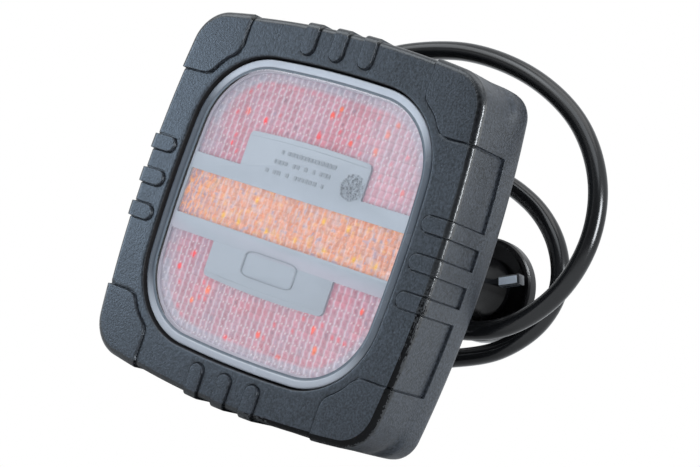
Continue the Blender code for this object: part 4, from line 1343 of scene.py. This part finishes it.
stand(plastic_ring("gland_body_look", GLAND_BODY, 0.25, along_gland, 96, hexagonal),
      "plug_plastic", "gland_body")
stand(plastic_ring("gland_nut_look", GLAND_NUT, 0.5, along_gland, 144,
                   ribs(18, depth=0.28, beyond=7.0)), "plug_plastic", "gland_nut")

# ------------------------------------------------------------------ feet
# profiles: radius, depth

HUB_PROFILE = [(0, 36.9), (9.2, 36.9), (10, 37.7), (10, 56.0), (10.25, 60.0), (10.8, 63.5),
               (11.5, 66.4), (12.25, 68.5), (12.25, 71.3), (0, 71.3)]
# the boot's outside, the ring grooves in its contact face, and its inside
BOOT_PROFILE = [(6.1, 71.8), (17.4, 71.8), (18.2, 71.55), (19.4, 71.6), (20.1, 72.4),
                (20.1, 76.6), (19.3, TOTAL_DEPTH)]
for ring_r in (17.2, 13.6, 10.0, 6.4):
    BOOT_PROFILE += [(ring_r + 0.55, TOTAL_DEPTH), (ring_r + 0.2, 77.05), (ring_r - 0.2, 77.05),
                     (ring_r - 0.55, TOTAL_DEPTH)]
BOOT_PROFILE += [(0, TOTAL_DEPTH), (0, 76.7), (18.6, 76.7), (18.6, 72.9), (6.1, 72.9)]
WASHER_PROFILE = [(3.4, 35.7), (8.6, 35.7), (8.6, 36.6), (3.4, 36.6)]
BAR_TURN = 23.0


def foot_hub(name, x):
    """The turned hub with its slanting grip bar and the bar's two panels, painted pale as a
    reflection of a softbox.
    """
    body = lathe("hub_turned", fillet(HUB_PROFILE, 0.5), along_y(x, 0), HUB, 96)
    bar = box("grip_bar", x - 19.6, x + 19.6, -2.0, 2.0, 64.4, 68.6, BAR, bevel=0.45,
              turn=BAR_TURN)
    panels = [box("grip_inset", x + start, x + end, -1.45, 1.45, 64.22, 65.0, BAR_PANEL_SHEEN,
                  bevel=0.16, segments=2)
              for start, end in ((-18.6, -8.2), (8.2, 18.6))]
    about = Matrix.Translation((x * MM, 0, 0))
    for panel in panels:
        panel.data.transform(about @ Matrix.Rotation(-math.radians(BAR_TURN), 4, 'Y')
                             @ about.inverted())
    return joined(name, [body, bar, *panels], sharp=30)


feet = []
for side, x in (("left", -FOOT_X), ("right", FOOT_X)):
    foot = "foot_" + side
    feet.append(stand(foot_hub(foot + "_grip", x), "hub_plastic", foot + "_hub"))
    boot = lathe(foot + "_cover", fillet(BOOT_PROFILE, 0.12, closed=True), along_y(x, 0), BOOT,
                 120, closed=True)
    feet.append(stand(boot, "boot_rubber", foot + "_boot"))
    stand(lathe(foot + "_washer_look", fillet(WASHER_PROFILE, 0.15, closed=True), along_y(x, 0),
                ZINC, 80, closed=True), "steel_zinc", foot + "_washer")

# ------------------------------------------------------------------ cable

# from the gland to the plug: x, z, depth
ROUTE = (
    (GLAND_X, 1, 45), (GLAND_X, 14, 45), (GLAND_X, 27, 45), (GLAND_X, 40, 45), (-21, 55.5, 45),
    (-14.5, 68.5, 45), (-3.5, 76.5, 45), (25, 82.5, 45), (54.5, 79.2, 45), (79.5, 67.4, 45),
    (95.3, 48.4, 45), (100, 26, 45), (93.4, 4, 45), (76, -12.4, 45.5), (50, -18.5, 47),
    (24, -13, 51.5), (8.5, 8, 56), (17, 33, 60), (40, 40.8, 62), (60.7, 36.2, 62.5),
    (76.1, 25, 63), (83.6, 9.6, 63.5), (80.3, -6.2, 64), (67.6, -20, 64.5), (49, -28.7, 65),
    (32, -33.8, 63.5), (19, -39, 61), (8, -42.2, 59.6), (-3, PLUG_Z, PLUG_DEPTH),
    (-15, PLUG_Z, PLUG_DEPTH))


def through(points, steps):
    """A Catmull-Rom curve through the points."""
    pts = [np.array(p, float) for p in points]
    pts = [2 * pts[0] - pts[1]] + pts + [2 * pts[-1] - pts[-2]]
    line = []
    for a, b, c, d in zip(pts, pts[1:], pts[2:], pts[3:]):
        for i in range(steps):
            t = i / steps
            line.append(0.5 * (2 * b + (c - a) * t + (2 * a - 5 * b + 4 * c - d) * t * t
                               + (3 * b - a - 3 * c + d) * t ** 3))
    return np.array(line + [pts[-2]])


def tube(name, line, radius, look, around):
    """A round tube along (x, z, depth), carried by parallel transport, with closed ends."""
    path = np.stack([line[:, 0], y_of(line[:, 2]), line[:, 1]], -1)
    tangents = np.gradient(path, axis=0)
    tangents /= np.linalg.norm(tangents, axis=1)[:, None]
    angles = (np.arange(around) * 2 * math.pi / around)[:, None]
    side = np.array([1.0, 0, 0])
    rings = []
    for point, tangent in zip(path, tangents):
        side = side - tangent * side.dot(tangent)
        side /= np.linalg.norm(side)
        up = np.cross(tangent, side)
        rings.append(point + radius * (np.cos(angles) * side + np.sin(angles) * up))
    faces = grid_faces(len(path), around)
    centre, last = len(path) * around, (len(path) - 1) * around
    for i in range(around):
        j = (i + 1) % around
        faces += [(j, i, centre), (last + i, last + j, centre + 1)]
    obj = piece(name, np.concatenate(rings + [path[:1], path[-1:]]), faces, [look], sharp=50)
    face_outwards(obj.data)
    return obj


cable = stand(tube("cable_run", through(ROUTE, 14), 3.55, CABLE, around=40), "cable_sheath",
              "cable")

# ------------------------------------------------------------------ plug
# profiles: radius, distance towards -X

PLUG_BODY = [(8.2, 50.0), (10.2, 50.0), (10.2, 37.4), (11.3, 36.9), (11.3, 35.6), (10.2, 35.1),
             (10.2, 30.0), (11.4, 29.4), (11.4, 12.4), (7.2, 12.4), (7.2, 5.0), (6.2, 5.0),
             (6.2, 9.4), (4.0, 9.4), (4.0, 16.0), (8.2, 16.0)]
PLUG_NUT = [(7.6, 12.0), (9.6, 12.0), (9.6, 1.5), (7.4, -2.5), (3.9, -2.5), (3.9, 3.6),
            (7.6, 3.6)]
PLUG_COLLAR = [(10.6, 52.0), (12.4, 52.0), (13.0, 51.2), (13.0, 31.0), (12.4, 30.2),
               (10.6, 30.2), (10.6, 34.6), (11.8, 35.0), (11.8, 37.5), (10.6, 37.9)]
PLUG_INSERT = [(0, 38.0), (7.8, 38.0), (7.8, 22.0), (0, 22.0)]
PLUG_BORE = [(0, 60.0), (1.45, 60.0), (1.45, 10.0), (0, 10.0)]
PLUG_PIN = [(0, 48.0), (0.6, 48.0), (1.15, 47.2), (1.15, 20.0), (0, 20.0)]
PIN_RING_R = 4.4


def body_fade(h):
    """Where the plug body's ribs stand, fading at both ends."""
    return float(smooth(12.4, 14.0, h) * smooth(29.4, 27.6, h)) * (h < 29)


def collar_flutes(angle, r, h):
    """Six narrow grooves along the collar."""
    if r < 11.9 or not 32.5 < h < 49.5:
        return np.zeros_like(angle)
    fade = float(smooth(32.5, 34.0, h) * smooth(49.5, 48.0, h))
    sixth = math.pi / 3
    near = np.abs(((angle - sixth / 2) + sixth / 2) % sixth - sixth / 2)
    return -0.75 * fade * (1 - smooth(0.07, 0.12, near))


def dense(points, step):
    """Extra profile points on long straight runs, for shapes that change along them."""
    out = []
    for a, b in zip(points, points[1:] + points[:1]):
        n = max(1, int(math.dist(a, b) / step))
        out += [(a[0] + (b[0] - a[0]) * i / n, a[1] + (b[1] - a[1]) * i / n) for i in range(n)]
    return out


stand(plastic_ring("plug_body_look", PLUG_BODY, 0.45, along_plug(), 144,
                   ribs(24, depth=0.30, beyond=10.9, fade=body_fade)),
      "plug_plastic", "plug_body")
stand(plastic_ring("plug_nut_look", PLUG_NUT, 0.5, along_plug(), 160,
                   ribs(20, depth=0.26, beyond=8.6)), "plug_plastic", "plug_nut")
stand(lathe("plug_collar_look", dense(fillet(PLUG_COLLAR, 0.4, closed=True), 0.9), along_plug(),
            PLUG, 216, closed=True, shape=collar_flutes), "plug_plastic", "plug_collar")

# one pin on the axis and four round it
pin_spots = [(0.0, 0.0)]
for i in range(4):
    a = math.radians(45 + 90 * i)
    pin_spots.append((PIN_RING_R * math.cos(a), PIN_RING_R * math.sin(a)))
insert = lathe("plug_insert_look", fillet(PLUG_INSERT, 0.3), along_plug(), HOUSING, 80)
bores = [lathe("bore", PLUG_BORE, along_plug(*spot), HOUSING, 32) for spot in pin_spots]
stand(cut(insert, bores), "housing_black", "plug_insert")
for i, spot in enumerate(pin_spots, start=1):
    stand(lathe("plug_pin_look_%d" % i, fillet(PLUG_PIN, 0.25), along_plug(*spot), BRASS, 40),
          "pin_brass", "plug_pin_%d" % i)

# ------------------------------------------------------------------ CAD nodes shown as packed


def packed_look(name):
    if name in ("lens_seal", "gland_seal", "plug_seal"):
        return SEAL
    if name == "led_board":
        return BOARD
    if name.startswith("red_led"):
        return LED_RED
    if name.startswith("amber_led"):
        return LED_AMBER
    return MAGNET if name.endswith("_magnet") else ZINC


for name, obj in frame["nodes"].items():
    if obj.hide_render:
        continue
    obj.data.materials.clear()
    obj.data.materials.append(packed_look(name))
    obj.data.polygons.foreach_set("material_index", [0] * len(obj.data.polygons))

# ------------------------------------------------------------------ stage: floor, light, camera
# sizes and distances here are metres

FLOOR_Z = -0.0746


def white_floor():
    """White to the camera, a pale matt surface to the light."""
    made = bpy.data.materials.new("floor_pale")
    made.use_nodes = True
    tree = made.node_tree
    tree.nodes.clear()
    by_camera_ray(tree, "OutputMaterial",
                  seen=add_node(tree, "Emission", {"Color": (1, 1, 1, 1)}),
                  lit=add_node(tree, "BsdfDiffuse", {"Color": (0.88, 0.89, 0.90, 1)}))
    return made


def studio_world():
    """White to the camera; as light, brighter upwards and dark behind the camera."""
    world = bpy.data.worlds.new("studio")
    bpy.context.scene.world = world
    world.use_nodes = True
    tree = world.node_tree
    tree.nodes.clear()
    seen = add_node(tree, "Background", {"Color": (1, 1, 1, 1)})
    where = add_node(tree, "TexCoord").outputs["Generated"]
    dark_way = Vector((0.30, -0.94, -0.12)).normalized()
    facing = add_node(tree, "VectorMath", {0: where, 1: dark_way}, operation='DOT_PRODUCT')
    hole = map_range(tree, facing.outputs["Value"],
                     (math.cos(math.radians(62)), math.cos(math.radians(26))), (1.0, 0.10),
                     interpolation_type='SMOOTHSTEP')
    height = add_node(tree, "SeparateXYZ", {0: where}).outputs["Z"]
    rise = map_range(tree, height, (-0.2, 1.0), (0.75, 1.25))
    both = add_node(tree, "Math", {0: hole, 1: rise}, operation='MULTIPLY')
    level = add_node(tree, "Math", {0: both.outputs[0], 1: 0.98}, operation='MULTIPLY')
    lit = add_node(tree, "Background", {"Color": (0.94, 0.97, 1.0, 1),
                                        "Strength": level.outputs[0]})
    by_camera_ray(tree, "OutputWorld", seen=seen, lit=lit)


def group_of(name, objects):
    group = bpy.data.collections.new(name)
    for obj in objects:
        group.objects.link(obj)
    return group


def softbox(name, toward, distance, size, watts, colour=(1, 1, 1), only=()):
    """A rectangular lamp facing the tail light; with only, it reaches those pieces alone."""
    data = bpy.data.lights.new(name, 'AREA')
    data.shape = 'RECTANGLE'
    data.size, data.size_y = size
    data.energy = watts
    data.color = colour
    light = bpy.data.objects.new(name, data)
    where = Vector(toward).normalized() * distance
    light.location = where + SHIFT
    light.rotation_euler = (-where).to_track_quat('-Z', 'Y').to_euler()
    bpy.context.scene.collection.objects.link(light)
    if only:
        light.light_linking.receiver_collection = group_of(name, only)
    return light


bpy.ops.mesh.primitive_plane_add(size=6.0, location=(0, 0, FLOOR_Z))
floor = bpy.context.object
floor.name = "studio_floor"
floor.data.materials.append(white_floor())
floor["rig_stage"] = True

studio_world()

softbox("key_left", toward=(-0.75, -0.80, 0.75), distance=1.3, size=(0.9, 0.7), watts=6.0,
        colour=(0.93, 0.97, 1.0))
softbox("top", toward=(0.1, -0.15, 1.0), distance=1.2, size=(1.0, 0.8), watts=4.5)
softbox("rubber_key", toward=(-0.766, -0.638, 0.02), distance=0.62, size=(0.20, 0.26),
        watts=1.25, colour=(0.66, 0.82, 1.0), only=[rubber])
softbox("rubber_side", toward=(1.0, 0.55, 0.30), distance=0.9, size=(0.6, 0.7), watts=2.8,
        colour=(1.0, 0.99, 0.96), only=[rubber])
softbox("rubber_line", toward=(1.0, -0.16, 0.30), distance=1.05, size=(0.14, 0.5), watts=10.0,
        only=[rubber])
softbox("cable_streak", toward=(0.93, -0.30, 0.27), distance=1.05, size=(0.36, 0.46),
        watts=16.5, colour=(0.92, 0.96, 1.0), only=[cable])
fill = softbox("cable_fill", toward=(0.05, -0.70, 0.72), distance=1.0, size=(1.1, 0.5),
               watts=5.0, colour=(0.88, 0.94, 1.0), only=[cable])
# only the cable itself blocks its fill light
fill.light_linking.blocker_collection = group_of("cable_shadows", [cable])
softbox("foot_rim", toward=(0.75, -0.05, 1.0), distance=0.6, size=(0.22, 0.22), watts=7.0,
        colour=(0.92, 0.96, 1.0), only=feet)

camera_data = bpy.data.cameras.new("camera")
camera_data.lens = 94.78
camera_data.sensor_width = 36.0
camera_data.clip_start, camera_data.clip_end = 0.01, 20.0
camera = bpy.data.objects.new("camera", camera_data)
camera.matrix_world = Matrix.Translation(SHIFT) @ Matrix((
    (0.76535, -0.24669, 0.59446, 0.42085),
    (0.55651, -0.21033, -0.80377, -0.60199),
    (0.32332, 0.94599, -0.02369, -0.01307),
    (0, 0, 0, 1)))
bpy.context.scene.collection.objects.link(camera)
bpy.context.scene.camera = camera
bpy.context.scene.view_settings.view_transform = 'Standard'
bpy.context.scene.view_settings.look = 'None'


def plain(value):
    if isinstance(value, dict):
        return {k: plain(v) for k, v in value.items()}
    if isinstance(value, (Vector, list, tuple)):
        return [plain(v) for v in value]
    return float(value)


{"at_load": plain(size_at_load), "before_finish": plain(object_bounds())}
